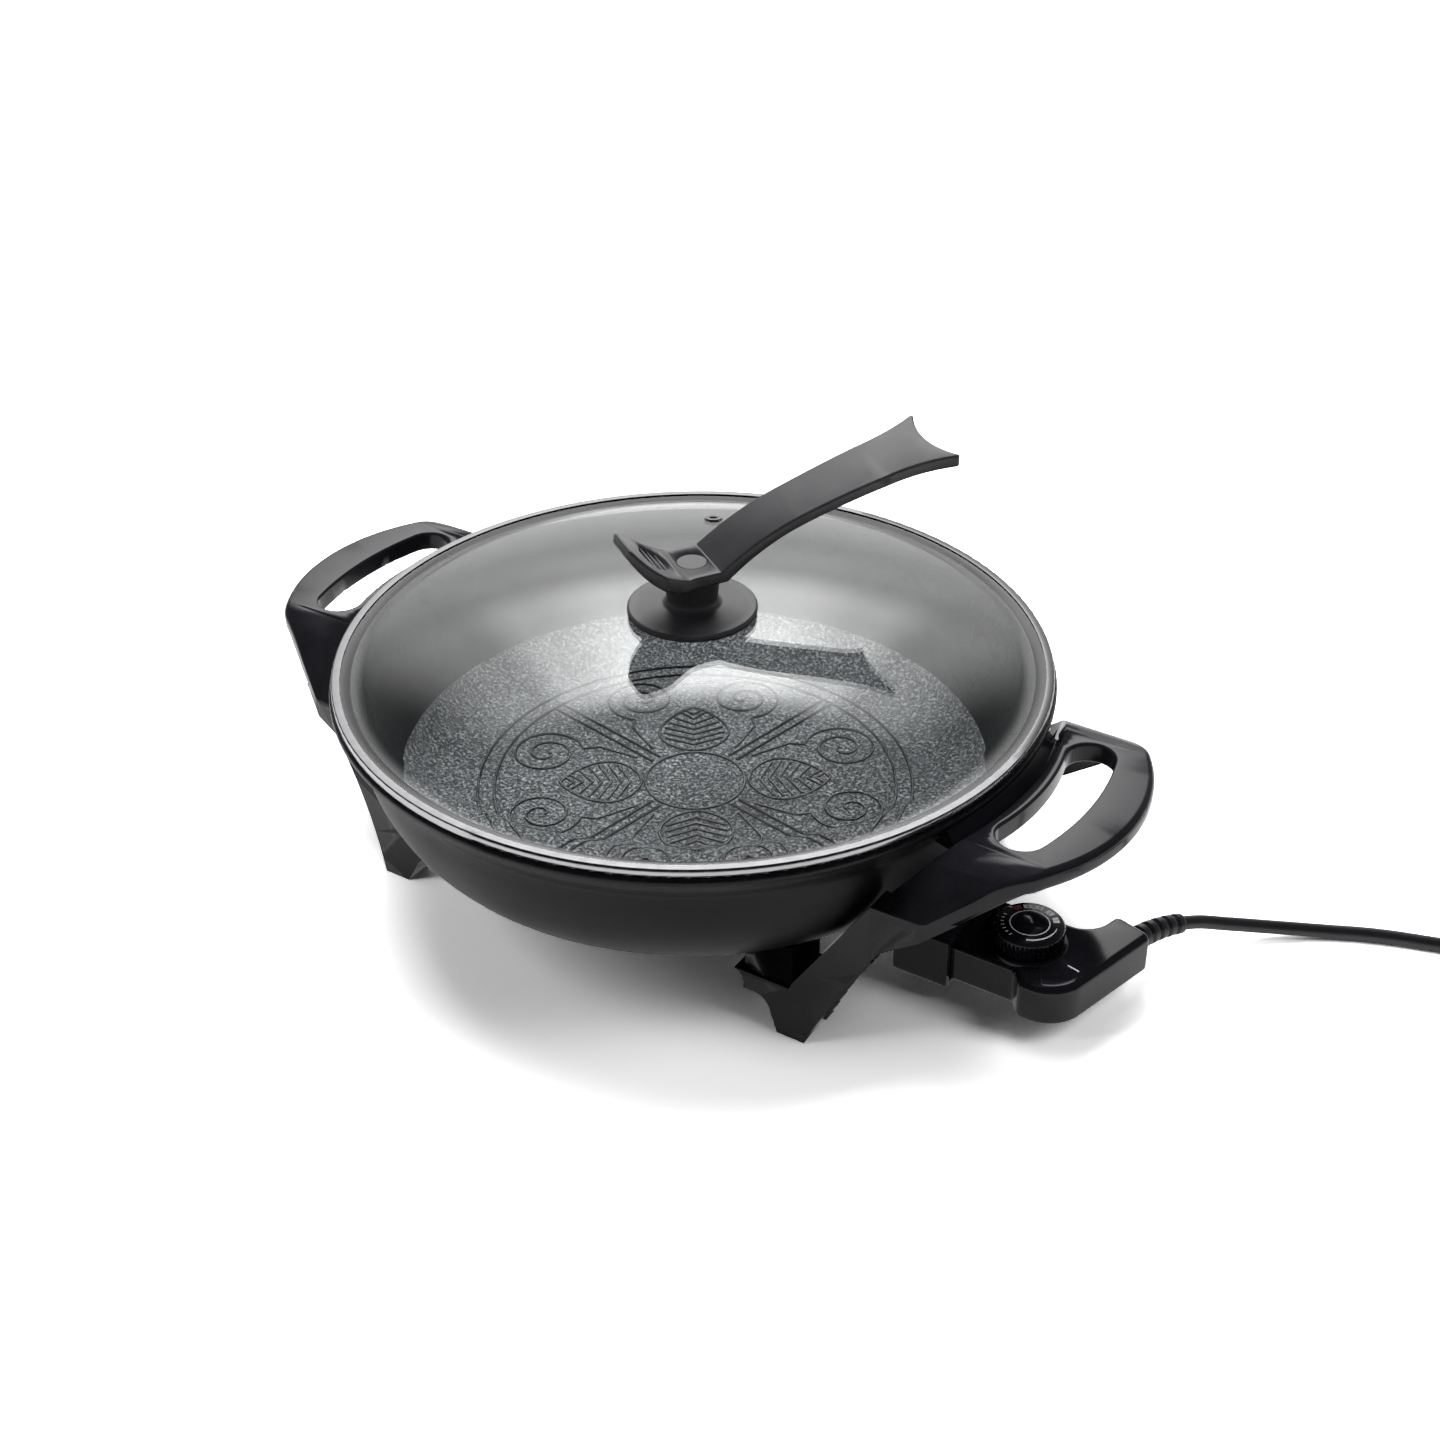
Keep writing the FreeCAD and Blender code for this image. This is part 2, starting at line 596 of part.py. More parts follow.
def make_pan():
    body = revolved("pan", pan_outside() + [
        (s.pan_rim_radius, seat - s.pan_rim_chamfer), Bow(QUARTER),
        (s.pan_rim_radius - s.pan_rim_chamfer, seat), (0, seat)])
    bosses = sketch_on(body, "XY_Plane", boss_bottom)
    for side in (-1, 1):
        for end in (-1, 1):
            draw_circle(bosses, (post_spread_x * end, post_spread_y * side), s.leg_boss_radius)
    pad(body, bosses, s.leg_boss_length + s.pan_turn_height, "leg_bosses")
    lugs = sketch_on(body, "XY_Plane", shroud_top)
    for centre in shroud_screw_places():
        draw_circle(lugs, centre, s.shroud_lug_radius)
    pad(body, lugs, s.pan_base_height + s.pan_turn_height * 1.6 - shroud_top, "shroud_lugs")
    floor = s.pan_base_height + s.pan_base_thickness
    thick = s.pan_wall_thickness
    revolve(body, [
        (0, floor), (pan_floor_radius, floor), Bow(0.075),
        (pan_turn_radius - thick * 0.8, s.pan_base_height + s.pan_turn_height + thick), Bow(0.09),
        (pan_neck_radius - thick - s.pan_bead_step - 1.9, s.pan_base_height + s.pan_bead_height),
        (pan_mouth_radius - WALL_STEP, seat - s.pan_mouth_depth - 2.0),
        (pan_mouth_radius, seat - s.pan_mouth_depth),
        (pan_mouth_radius, seat + 1), (0, seat + 1)], "PartDesign::Groove")
    ring_height = s.pan_base_height + s.element_inset - s.element_radius
    groove = sketch_on(body, "XZ_Plane")
    draw_circle(groove, (element_ring_radius, ring_height), s.element_radius + s.shaft_clearance)
    cut = body.newObject("PartDesign::Groove", "pan_element_groove")
    cut.Profile = groove
    cut.ReferenceAxis = (groove, ["V_Axis"])
    cut.Angle = 360
    document.recompute()
    for height, places in ((boss_bottom, leg_screw_places()), (shroud_top, shroud_screw_places())):
        holes = sketch_on(body, "XY_Plane", height)
        for centre in places:
            draw_circle(holes, centre, s.screw_radius)
        pocket(body, holes, s.screw_bite, upward=True)
    return body


def leg_screw_places():
    return [(post_spread_x * end, post_spread_y * side) for end in (-1, 1) for side in (-1, 1)]


def shroud_screw_places():
    middle = (shroud_start + nose_start) / 2 - s.screw_head_radius
    half = s.shroud_lug_spacing / 2
    return [(middle, -s.plug_axis_offset - half), (middle, half - s.plug_axis_offset)]


# ---------------------------------------------------------------- heating element and socket

def make_element():
    """Ring under the base whose ends run out to the terminal pins."""
    height = float(s.pan_base_height + s.element_inset - s.element_radius)
    ring = float(element_ring_radius)
    axis_y = -float(s.plug_axis_offset)
    half = float(s.terminal_spacing) / 2
    low, high = (math.degrees(math.asin((axis_y + side * half) / ring)) for side in (-1, 1))
    torus = Part.makeTorus(ring, float(s.element_radius), Vector(0, 0, height), Vector(0, 0, 1),
                           -180, 180, 360 + low - high)
    torus.rotate(Vector(0, 0, 0), Vector(0, 0, 1), high)
    pieces = [torus]
    for side in (-1, 1):
        y = axis_y + side * half
        start = math.sqrt(ring ** 2 - y ** 2)
        pin = float(s.plug_axis_height)
        end = float(lead_end)
        route = [Vector(start, y, height), Vector(start + 28, y, height),
                 Vector(end - 12, y, pin), Vector(end, y, pin)]
        pieces.append(tube(route, s.lead_radius)[0])
    solid("heating_element", joined(pieces))


def terminal_y(side):
    return s.terminal_spacing * (side * 0.5) - s.plug_axis_offset


def along_x(label, corners, x, y, z):
    """Piece turned about an axis parallel to X, with its start at x."""
    body = revolved(label, corners)
    return place(body, x, y, z, Rotation(Vector(0, 1, 0), 90))


def make_terminals():
    for side, name in ((-1, "front"), (1, "rear")):
        y = terminal_y(side)
        length = terminal_end - lead_end
        along_x(f"terminal_pin_{name}", [
            (0, 0), (s.terminal_radius, 0), (s.terminal_radius, length - s.pin_tip_round),
            Bow(QUARTER), (s.terminal_radius - s.pin_tip_round, length), (0, length)],
            lead_end, y, s.plug_axis_height)
        inner = s.terminal_radius + s.shaft_clearance
        outer = s.insulator_radius
        collar = s.insulator_length * 0.45
        along_x(f"terminal_insulator_{name}", [
            (inner, 0), (outer, 0), (outer, collar), (outer - 1.2, collar),
            (outer - 1.2, s.insulator_length), (inner, s.insulator_length)],
            lead_end, y, s.plug_axis_height)


def make_terminal_plate():
    """Steel plate that holds the insulators across the inner end of the shroud."""
    body = new_body("terminal_plate")
    x = lead_end + s.insulator_length * 0.45
    sketch = sketch_on(body, "YZ_Plane", x)
    half = nose_half + s.shroud_clearance
    low = case_bottom - s.shroud_clearance
    high = case_top + s.shroud_clearance
    left = -half - s.plug_axis_offset
    right = half - s.plug_axis_offset
    notch = half - s.shroud_lug_spacing / 2 + s.screw_head_radius + s.plate_notch_clearance
    step = high - s.screw_head_height - s.plate_notch_clearance
    draw(sketch, [(left, low), (right, low), (right, step), (right - notch, step),
                  (right - notch, high), (left + notch, high), (left + notch, step), (left, step)])
    for side in (-1, 1):
        draw_circle(sketch, (terminal_y(side), s.plug_axis_height),
                    s.insulator_radius - 1.2 + s.shaft_clearance)
    draw_circle(sketch, (-s.plug_axis_offset, s.plug_axis_height), s.probe_radius + 0.6)
    pad(body, sketch, 1.2)


def make_shroud():
    """Open box round the terminals that takes the controller's nose."""
    body = new_body("socket_shroud")
    sketch = sketch_on(body, "YZ_Plane", shroud_start)
    room = nose_half + s.shroud_clearance
    inside = (room, case_bottom - s.shroud_clearance, case_top + s.shroud_clearance)
    outside = (room + s.shroud_wall, shroud_bottom, shroud_top)
    for half, low, high in (outside, inside):
        left = -half - s.plug_axis_offset
        right = half - s.plug_axis_offset
        draw(sketch, [(left, low), (right, low), (right, high), (left, high)])
    pad(body, sketch, shroud_end - shroud_start)
    wide = float(outside[0]) - 0.1

    def long_outer(edge):
        middle = edge.CenterOfMass
        along = abs(edge.tangentAt(edge.FirstParameter).x) > 0.9
        return along and abs(middle.y + float(s.plug_axis_offset)) > wide

    soften(body, s.shroud_wall * 0.9, long_outer)
    holes = sketch_on(body, "XY_Plane", shroud_top)
    for centre in shroud_screw_places():
        draw_circle(holes, centre, s.screw_radius + s.shaft_clearance)
    pocket(body, holes, s.shroud_wall + 1)


def make_probe_guide():
    """Cast block under the base that the sensing probe slides into."""
    body = new_body("probe_guide")
    half = s.probe_guide_width / 2
    low = s.plug_axis_height - s.probe_radius - 3.4
    sketch = sketch_on(body, "YZ_Plane", probe_end - 2.0)
    draw(sketch, [(-half - s.plug_axis_offset, s.pan_base_height), (-half - s.plug_axis_offset, low + 4),
                  Bow(QUARTER), (-half - s.plug_axis_offset + 4, low),
                  (half - s.plug_axis_offset - 4, low), Bow(QUARTER),
                  (half - s.plug_axis_offset, low + 4), (half - s.plug_axis_offset, s.pan_base_height)])
    draw_circle(sketch, (-s.plug_axis_offset, s.plug_axis_height), s.probe_radius + s.shaft_clearance)
    pad(body, sketch, pan_base_radius - probe_end + 1.0)


def screw(label, x, y, z, length, pointing_up=True):
    """Pan-head screw with a cross recess, its head under the joint."""
    radius = s.screw_radius
    head = s.screw_head_radius
    body = revolved(label, [
        (0, -s.screw_head_height), (head - 1.2, -s.screw_head_height), Bow(QUARTER), (head, -0.8),
        (head, 0), (radius, 0), (radius, length - 1), (0, length)])
    slot = sketch_on(body, "XY_Plane", -s.screw_head_height)
    arm = head * 0.55
    wide = 0.45
    draw(slot, [(-arm, -wide), (-wide, -wide), (-wide, -arm), (wide, -arm), (wide, -wide),
                (arm, -wide), (arm, wide), (wide, wide), (wide, arm), (-wide, arm),
                (-wide, wide), (-arm, wide)])
    pocket(body, slot, s.screw_head_height * 0.5, upward=True)
    turn = Rotation() if pointing_up else Rotation(Vector(1, 0, 0), 180)
    return place(body, x, y, z, turn)


# ---------------------------------------------------------------- handle and leg brackets

def lean(x, z, back=0.0):
    """Point on the leaning front face of the right-hand front leg, or behind it."""
    return Vector(x, -float(leg_front) + float(s.leg_lean) * z + back, z)


def leg_outline(inset=0):
    """Front view of one leg with its foot and shelf, from (x, height) corners."""
    return [
        (foot_inner + inset, 0), (foot_outer - inset, 0), Bow(-0.05),
        (crease_outer - inset, crease), (crease_inner + inset, crease),
        (foot_inner + 5.0 + inset, s.shelf_height + 3.4 - inset),
        (foot_inner + 3.6, s.shelf_height - inset),
        (shelf_start + inset, s.shelf_height - inset), Bow(-QUARTER),
        (shelf_start + 6.0, s.shelf_height - 7.6 + inset),
        (foot_inner - 14.0, s.shelf_height - 8.6 + inset), Bow(-0.16),
        (foot_inner - 4.3 + inset, s.shelf_height - 16.5)]


def handle_outline():
    """Top view of the handle loop and its two slopes, without the slot."""
    reach = float(handle_reach)
    bow = float(leg_face(crease) + s.handle_bow_margin)
    corner = float(s.handle_corner_radius)
    inner, outer, edge = float(crease_inner), float(crease_outer), float(leg_face(crease))
    turn = math.radians(float(s.slope_turn))
    along = Vector(math.cos(turn), math.sin(turn), 0)
    across = Vector(-math.sin(turn), math.cos(turn), 0)
    centre = Vector(reach - bow, 0, 0)
    start = Vector(outer, -edge, 0) + across * corner - centre
    middle = start.dot(along)
    travel = -middle + math.sqrt(middle ** 2 + (bow - corner) ** 2 - start.Length ** 2)
    hub = start + along * travel
    leave = hub + centre - across * corner
    meet = centre + hub * (bow / (bow - corner))
    heading = math.atan2(hub.x, -hub.y)
    corner_share = Bow(share_of(heading - turn))
    bow_share = Bow(share_of(math.pi - 2 * heading))
    return [(inner, -edge), (outer, -edge), (leave.x, leave.y), corner_share, (meet.x, meet.y),
            bow_share, (meet.x, -meet.y), corner_share, (leave.x, -leave.y), (outer, edge),
            (inner, edge)]


def handle_side():
    """Front-to-back view of the loop and slopes, as (y, height) corners."""
    edge, back = float(leg_face(crease)), float(leg_face(crease) - s.leg_depth)
    low, high, foot = float(handle_bottom), float(handle_top), float(crease)
    half = float(handle_flat_half())
    slope = math.atan2(high - foot, edge - half)
    under = back - (low - foot) / math.tan(slope)
    share = Bow(share_of(slope))
    corners = []
    for face, y, level, radius, way in ((edge, half, high, float(s.slope_bend_radius), 1),
                                        (back, under, low, float(s.slope_bend_radius) / 2, -1)):
        cut = radius * math.tan(slope / 2)
        down = (y + cut * math.cos(slope), level - cut * math.sin(slope))
        share_here = Bow(-way * share.share)
        side = [(-face * way, foot), (-down[0] * way, down[1]), share_here,
                (-(y - cut) * way, level), ((y - cut) * way, level), share_here,
                (down[0] * way, down[1]), (face * way, foot)]
        corners += side
    return corners


def leg_face(height):
    """Distance of the leg's front face from the centre plane, at a height."""
    return leg_front - height * s.leg_lean.number


def handle_flat_half():
    """Half of the loop's flat top, to the line where it slopes down."""
    return leg_face(crease) - s.slope_run


def slot_half_length():
    """Middle of the finger slot to its round end."""
    return handle_flat_half() - s.slot_end_margin


def slot_outline():
    """Curved finger slot with round ends, between two concentric arcs."""
    curve = float(s.slot_curve_radius)
    half_width = float(slot_outer - slot_inner) / 2
    centre = float(slot_inner) + half_width - curve
    end = math.asin((float(slot_half_length()) - half_width) / curve)

    def at(radius, side):
        return (centre + radius * math.cos(end), side * radius * math.sin(end))

    long_share = share_of(2 * end)
    inner, outer = curve - half_width, curve + half_width
    return [at(inner, -1), Bow(0.5), at(outer, -1), Bow(long_share), at(outer, 1), Bow(0.5),
            at(inner, 1), Bow(-long_share)]


def crease_corner(way):
    """What the rounded bend takes off the corner between the slope and the leg."""
    low, high = float(crease), float(handle_top)
    edge = float(leg_face(crease))
    corner = Vector(edge * way, low, 0)
    down = Vector(float(s.leg_lean) * way, -1, 0).normalize()
    up = Vector(-float(s.slope_run) * way, high - low, 0).normalize()
    turn = math.pi - down.getAngle(up)
    cut = float(s.crease_round) * math.tan(turn / 2)
    first, last = corner + down * cut, corner + up * cut
    start = float(shelf_start)
    face = face_of([(first.x, first.y), Bow(way * share_of(turn)), (last.x, last.y),
                    (corner.x + way, corner.y)], lambda y, z: Vector(start, y, z))
    return face.extrude(Vector(float(handle_reach) - start, 0, 0))


def make_leg():
    """Hollow leaning leg, its shelf and the post that meets the pan."""
    depth = Vector(0, float(s.leg_depth), 0)
    plate = float(s.leg_plate)
    whole = face_of(leg_outline(), lean).extrude(depth)
    hollow_corners = [
        (foot_inner + plate + 2, s.shelf_height - 14), (foot_outer - plate, 5), Bow(-0.05),
        (crease_outer - plate - 3, crease - plate), (crease_inner + plate + 2, crease - plate),
        (foot_inner + 5.0 + plate, s.shelf_height + 2.0)]
    hollow = face_of(hollow_corners, lambda x, z: lean(x, z, plate)).extrude(depth)
    leg = whole.cut(hollow)
    start = float(shelf_start)
    low = float(s.shelf_height) - 8.6
    shelf_corners = [(start + 6, low), (float(foot_inner) + 3.6, low),
                     (float(foot_inner) + 3.6, s.shelf_height), (start, s.shelf_height), Bow(-QUARTER)]
    shelf = face_of(shelf_corners, lean).extrude(Vector(0, float(s.shelf_depth), 0))
    size = float(s.post_size)
    wall = float(s.post_wall)
    tall = float(boss_bottom - s.shelf_height)
    corner = Vector(float(post_spread_x) - size / 2, -float(post_spread_y) - size / 2,
                    float(s.shelf_height))
    walls = float(s.post_top - s.shelf_height)
    post = Part.makeBox(size, size, walls, corner)
    room = Part.makeBox(size - 2 * wall, size - 2 * wall, walls, corner + Vector(wall, wall, wall))
    centre = corner + Vector(size / 2, size / 2, 0)
    column = Part.makeCylinder(float(s.leg_boss_radius), tall, centre)
    post = post.cut(room).fuse(column)
    step = float(s.flange_step)
    behind = float(s.leg_depth) - plate
    strip = face_of(leg_outline(), lambda x, z: lean(x + step, z, behind))
    strip = strip.extrude(Vector(0, plate + float(s.flange_depth), 0))
    strip = strip.cut(strip.translated(Vector(-plate - step, 0, 0)))
    low, high = float(s.flange_bottom), float(s.flange_top)
    room = float(crease_outer)
    band = Part.makeBox(room, room, high - low, Vector(float(foot_inner), -room, low))
    flange = strip.common(band)
    shape = joined([leg, shelf, post, flange])
    bore = Part.makeCylinder(float(s.screw_radius + s.shaft_clearance), 60, centre - Vector(0, 0, 30))
    head = Part.makeCylinder(float(s.screw_head_radius) + 1.2, 30,
                             centre - Vector(0, 0, 30 + float(screw_recess())))
    return shape.cut(bore).cut(head)


def screw_recess():
    """Depth from the top of the shelf to the seat of the leg screw's head."""
    return s.post_wall


def make_bracket(label, turned):
    """Handle loop, slopes and both legs of one side, as one moulding."""
    wide = Vector(float(handle_reach), 0, 0)
    plate = face_of(handle_side(), lambda y, z: Vector(0, y, z)).extrude(wide)
    level = float(crease) - 1
    tall = Vector(0, 0, float(s.crease_drop) + 2)
    plate = plate.common(face_of(handle_outline(), lambda x, y: Vector(x, y, level)).extrude(tall))
    side = float(crease_outer)
    tip = float(handle_reach)
    run = float(s.slope_run) / math.tan(math.radians(float(s.slope_turn)))
    thick = float(s.handle_thickness)
    rise = float(s.crease_drop) / run
    wedge = face_of([(side, crease - thick), (tip, crease - thick), (tip, handle_bottom),
                     (side + run, handle_bottom)],
                    lambda x, z: Vector(x, -tip / 2, z)).extrude(Vector(0, tip, 0))

    def outside(edge):
        box = edge.BoundBox
        return box.XMax > side + 1 and edge.CenterOfMass.x > side + 4 and box.ZMax > level + 1.5

    plate = plate.makeFillet(float(s.handle_edge_round), [e for e in plate.Edges if outside(e)])
    plate = plate.cut(wedge)
    slot_rims = float(s.slot_edge_round)
    slot = face_of(slot_outline(), lambda x, y: Vector(x, y, level)).extrude(tall)
    plate = plate.cut(slot)
    inner = float(slot_inner) - 12
    reach = float(slot_half_length()) + 0.5
    flats = (float(handle_top), float(handle_bottom))
    rims = [edge for edge in plate.Edges if edge.BoundBox.ZLength < 1e-3
            and inner < edge.BoundBox.XMin and edge.BoundBox.XMax < float(slot_outer) + 0.5
            and abs(edge.BoundBox.YMin) < reach and abs(edge.BoundBox.YMax) < reach
            and min(abs(edge.BoundBox.ZMin - flat_level) for flat_level in flats) < 1e-3]
    plate = plate.makeFillet(slot_rims, rims)
    leg = make_leg()
    down = float(s.gusset_reach)
    edge = float(leg_face(crease))
    gusset = face_of([(side - down, crease - thick - down * rise), (side + thick / rise, crease),
                      (side - s.leg_plate, crease)], lambda x, z: Vector(x, -edge, z))
    gusset = gusset.extrude(Vector(0, float(s.leg_depth), 0))
    room = Vector(0, 0, float(s.crease_drop))
    below = face_of(handle_outline(), lambda x, y: Vector(x, y, crease - s.crease_drop))
    leg = joined([leg, gusset.common(below.extrude(room))])
    shape = joined([plate, leg, leg.mirror(Vector(0, 0, 0), Vector(0, 1, 0))])
    valley = face_of([
        (valley_inner_radius, handle_top + 1), (valley_inner_radius, handle_top - 1.6),
        (valley_radius - 4.5, handle_top - s.valley_depth),
        (valley_radius - 1.0, handle_top - s.valley_depth), (valley_radius, handle_top + 1)],
        lambda x, z: Vector(x, 0, z))
    half = float(s.valley_half_angle)
    axis = (Vector(0, 0, 0), Vector(0, 0, 1))
    valley = valley.revolve(*axis, 2 * half)
    valley.rotate(*axis, -half)
    gap_start = math.hypot(float(crease_inner), float(leg_face(crease)))
    gap = face_of([
        (crease_inner, crease), (gap_start, crease), (valley_radius, handle_top),
        (valley_radius, handle_top + 1), (crease_inner, handle_top + 1)],
        lambda x, z: Vector(x, 0, z))
    for start in (half, -90):
        side_gap = gap.revolve(*axis, 90 - half)
        side_gap.rotate(*axis, start)
        valley = valley.fuse(side_gap)
    envelope = face_of(pan_outside(s.collar_gap) + [
        (s.pan_rim_radius + s.collar_gap, seat + 5), (0, seat + 5)], lambda x, z: Vector(x, 0, z))
    envelope = envelope.revolve(Vector(0, 0, 0), Vector(0, 0, 1), 360)
    bend = crease_corner(-1).fuse(crease_corner(1))
    shape = shape.cut(valley).cut(envelope).cut(bend)
    solid(label, shape, Placement(Vector(0, 0, 0), Rotation(Vector(0, 0, 1), 180 if turned else 0)))


# ---------------------------------------------------------------- lid

def dome_radius():
    """Radius of the sphere that the underside of the glass is part of."""
    brim = float(glass_brim_radius)
    rise = float(s.glass_rise)
    return (brim ** 2 + rise ** 2) / (2 * rise)


def make_lid():
    turn = math.asin(float(glass_brim_radius) / dome_radius())
    turn -= math.asin(float(s.glass_hole_radius) / dome_radius())
    dome_share = share_of(turn)
    outer = lid_radius - s.band_sheet - s.shaft_clearance
    glass = revolved("lid_glass", [
        (glass_brim_radius, glass_bottom), Bow(dome_share),
        (s.glass_hole_radius, glass_bottom + s.glass_rise), (s.glass_hole_radius, dome_top),
        Bow(-dome_share), (glass_brim_radius, glass_top), (outer, glass_top),
        (outer, glass_bottom)])
    bearing = math.radians(float(s.vent_bearing))
    vent_x = vent_distance * math.cos(bearing)
    vent_y = vent_distance * math.sin(bearing)
    hole = sketch_on(glass, "XY_Plane", glass_bottom)
    draw_circle(hole, (vent_x, vent_y), s.vent_tube_radius + 0.9)
    pocket(glass, hole)

    edge = lid_radius
    bead = lid_radius - s.band_lower_lip
    low = band_bottom - s.band_bead_depth
    bend = s.band_bend
    bevel = s.band_bead_bevel
    revolved("lid_band", [
        (bead, low + bevel), (bead + bevel, low), (bead + s.band_bead_width - bevel, low),
        (bead + s.band_bead_width, low + bevel),
        (bead + s.band_bead_width, band_bottom), (edge - bend, band_bottom), Bow(QUARTER),
        (edge, band_bottom + bend), (edge, band_top - bend), Bow(QUARTER), (edge - bend, band_top),
        (edge - s.band_lip, band_top), (edge - s.band_lip, glass_top),
        (edge - s.band_sheet, glass_top), (edge - s.band_sheet, glass_bottom),
        (bead, glass_bottom)])

    fall = dome_radius() - math.sqrt(dome_radius() ** 2 - float(vent_distance) ** 2)
    tilt = math.degrees(math.asin(float(vent_distance) / dome_radius()))
    under = -s.glass_thickness - 0.15
    flange = s.vent_flange_radius
    eyelet = revolved("steam_vent", [
        (s.vent_hole_radius, under - s.vent_flange_height),
        (flange - 1.0, under - s.vent_flange_height), (flange - 1.0, under),
        (s.vent_tube_radius, under), (s.vent_tube_radius, 0.1), (flange, 0.1), Bow(QUARTER),
        (flange - 0.8, s.vent_flange_height), (s.vent_hole_radius + 0.8, s.vent_flange_height),
        Bow(QUARTER), (s.vent_hole_radius, 0)])
    turn = Rotation(Vector(0, 0, 1), float(s.vent_bearing)) * Rotation(Vector(0, 1, 0), tilt)
    place(eyelet, vent_x, vent_y, dome_top - fall, turn)


def make_knob():
    bore = s.bolt_radius + s.shaft_clearance
    revolved("knob_washer", [
        (bore, dome_top), (s.knob_washer_radius, dome_top), (s.knob_washer_radius, washer_top),
        (bore, washer_top)])
    disc = s.knob_disc_radius
    thread_top = glass_bottom + s.glass_rise - 1.0 + s.bolt_length
    revolved("knob", [
        (bore, washer_top), (s.knob_washer_radius + 1, washer_top),
        (disc - 1, washer_top - 1.1), Bow(QUARTER), (disc, washer_top),
        (disc, washer_top + s.knob_disc_edge - 2.0), Bow(QUARTER),
        (disc - 1.6, washer_top + s.knob_disc_edge - 1.1),
        (s.knob_stem_radius + 3, washer_top + s.knob_disc_edge + 0.2), Bow(-0.18),
        (s.knob_stem_radius, washer_top + s.knob_disc_edge + 2.6),
        (s.knob_stem_top_radius, grip_bottom), (s.screw_radius, grip_bottom),
        (s.screw_radius, thread_top + 1.2), (bore, thread_top + 1.2)])
    under = glass_bottom + s.glass_rise
    revolved("lid_seal_washer", [
        (bore, under - 1.0), (s.bolt_head_radius + 1, under - 1.0),
        (s.bolt_head_radius + 1, under - 0.1), (bore, under - 0.1)])
    head_top = under - 1.0
    head = s.bolt_head_radius
    revolved("knob_bolt", [
        (0, head_top - s.bolt_head_height), (head - 2, head_top - s.bolt_head_height), Bow(QUARTER),
        (head, head_top - 0.8), (head, head_top), (s.bolt_radius, head_top),
        (s.bolt_radius, thread_top - 0.6), (s.bolt_radius - 0.6, thread_top), (0, thread_top)])


def grip_side():
    """Side view of the lid handle: wing on the left, arm on the right."""
    low = grip_bottom
    top = grip_bottom + 6.0
    reach = s.arm_reach - 7.0
    tip = low + s.arm_rise + 4.0
    thick = s.arm_thickness
    wing = low + s.wing_rise + 6.6
    bend = reach * 0.377
    return [
        (reach, tip), Bow(0.0188), (bend, tip - 21.2), Bow(0.0400), (9, top),
        (-8, top), Bow(WING_SAG), (0 - s.wing_reach + 1.5, wing), Bow(-QUARTER),
        (-s.wing_reach, wing - 4.6), Bow(0.10), (-12, low), (12.5, low), Bow(-0.0473),
        (bend + 3, tip - 26.2), Bow(-0.0201), (reach, tip - thick)]


def grip_plan():
    """Top view of the lid handle, arm to the right, with the curved notch in its end."""
    reach = s.arm_reach - 7.0
    tip = s.arm_tip_width / 2
    root = s.arm_root_width / 2
    wing = s.wing_width / 2
    notch = 0.135
    return [
        (reach, -tip), Bow(-notch), (reach, tip), Bow(-0.06), (reach - 38, root + 2.4),
        Bow(-0.012), (-4.5, root + 0.8), (-s.wing_belly, wing), Bow(0.14),
        (-s.wing_reach - 1, 3.5), (-s.wing_reach - 1, -3.5), Bow(0.14), (-s.wing_belly, -wing),
        (-4.5, -root - 0.8), Bow(-0.012), (reach - 38, -root - 2.4), Bow(-0.06)]


def wing_skin(depth):
    """Layer of this depth under the wing's face, as tall as the wing above it."""
    top = float(grip_bottom) + 6.0
    end = float(grip_bottom + s.wing_rise) + 6.6
    far = 1.5 - float(s.wing_reach)
    face = face_of([(-8, top + 30), (-8, top - depth), Bow(WING_SAG), (far, end - depth),
                    (far, end + 30)], lambda x, z: Vector(x, -40, z))
    return face.extrude(Vector(0, 80, 0))


def make_thumb_recess():
    """Cut for the thumb recess: a rounded hollow with three low ribs across it."""
    middle = -s.thumb_recess_middle
    lenses = []
    for half in (s.thumb_recess_width / 2, s.thumb_recess_width / 2 - 0.6):
        lenses.append(face_of([(middle, -half), Bow(0.44), (middle, half), Bow(0.13)],
                              lambda x, y: Vector(x, y, 100)).extrude(Vector(0, 0, 200)))
    wide = float(s.thumb_rib_width)
    ribs = [Part.makeBox(wide, 80, 200,
                         Vector(float(middle) + share * float(s.thumb_rib_pitch), -40, 100))
            for share in (0, 1, 2)]
    deep = lenses[1].common(wing_skin(float(s.thumb_recess_depth))).cut(Part.makeCompound(ribs))
    return lenses[0].common(wing_skin(float(s.thumb_rib_depth))), deep


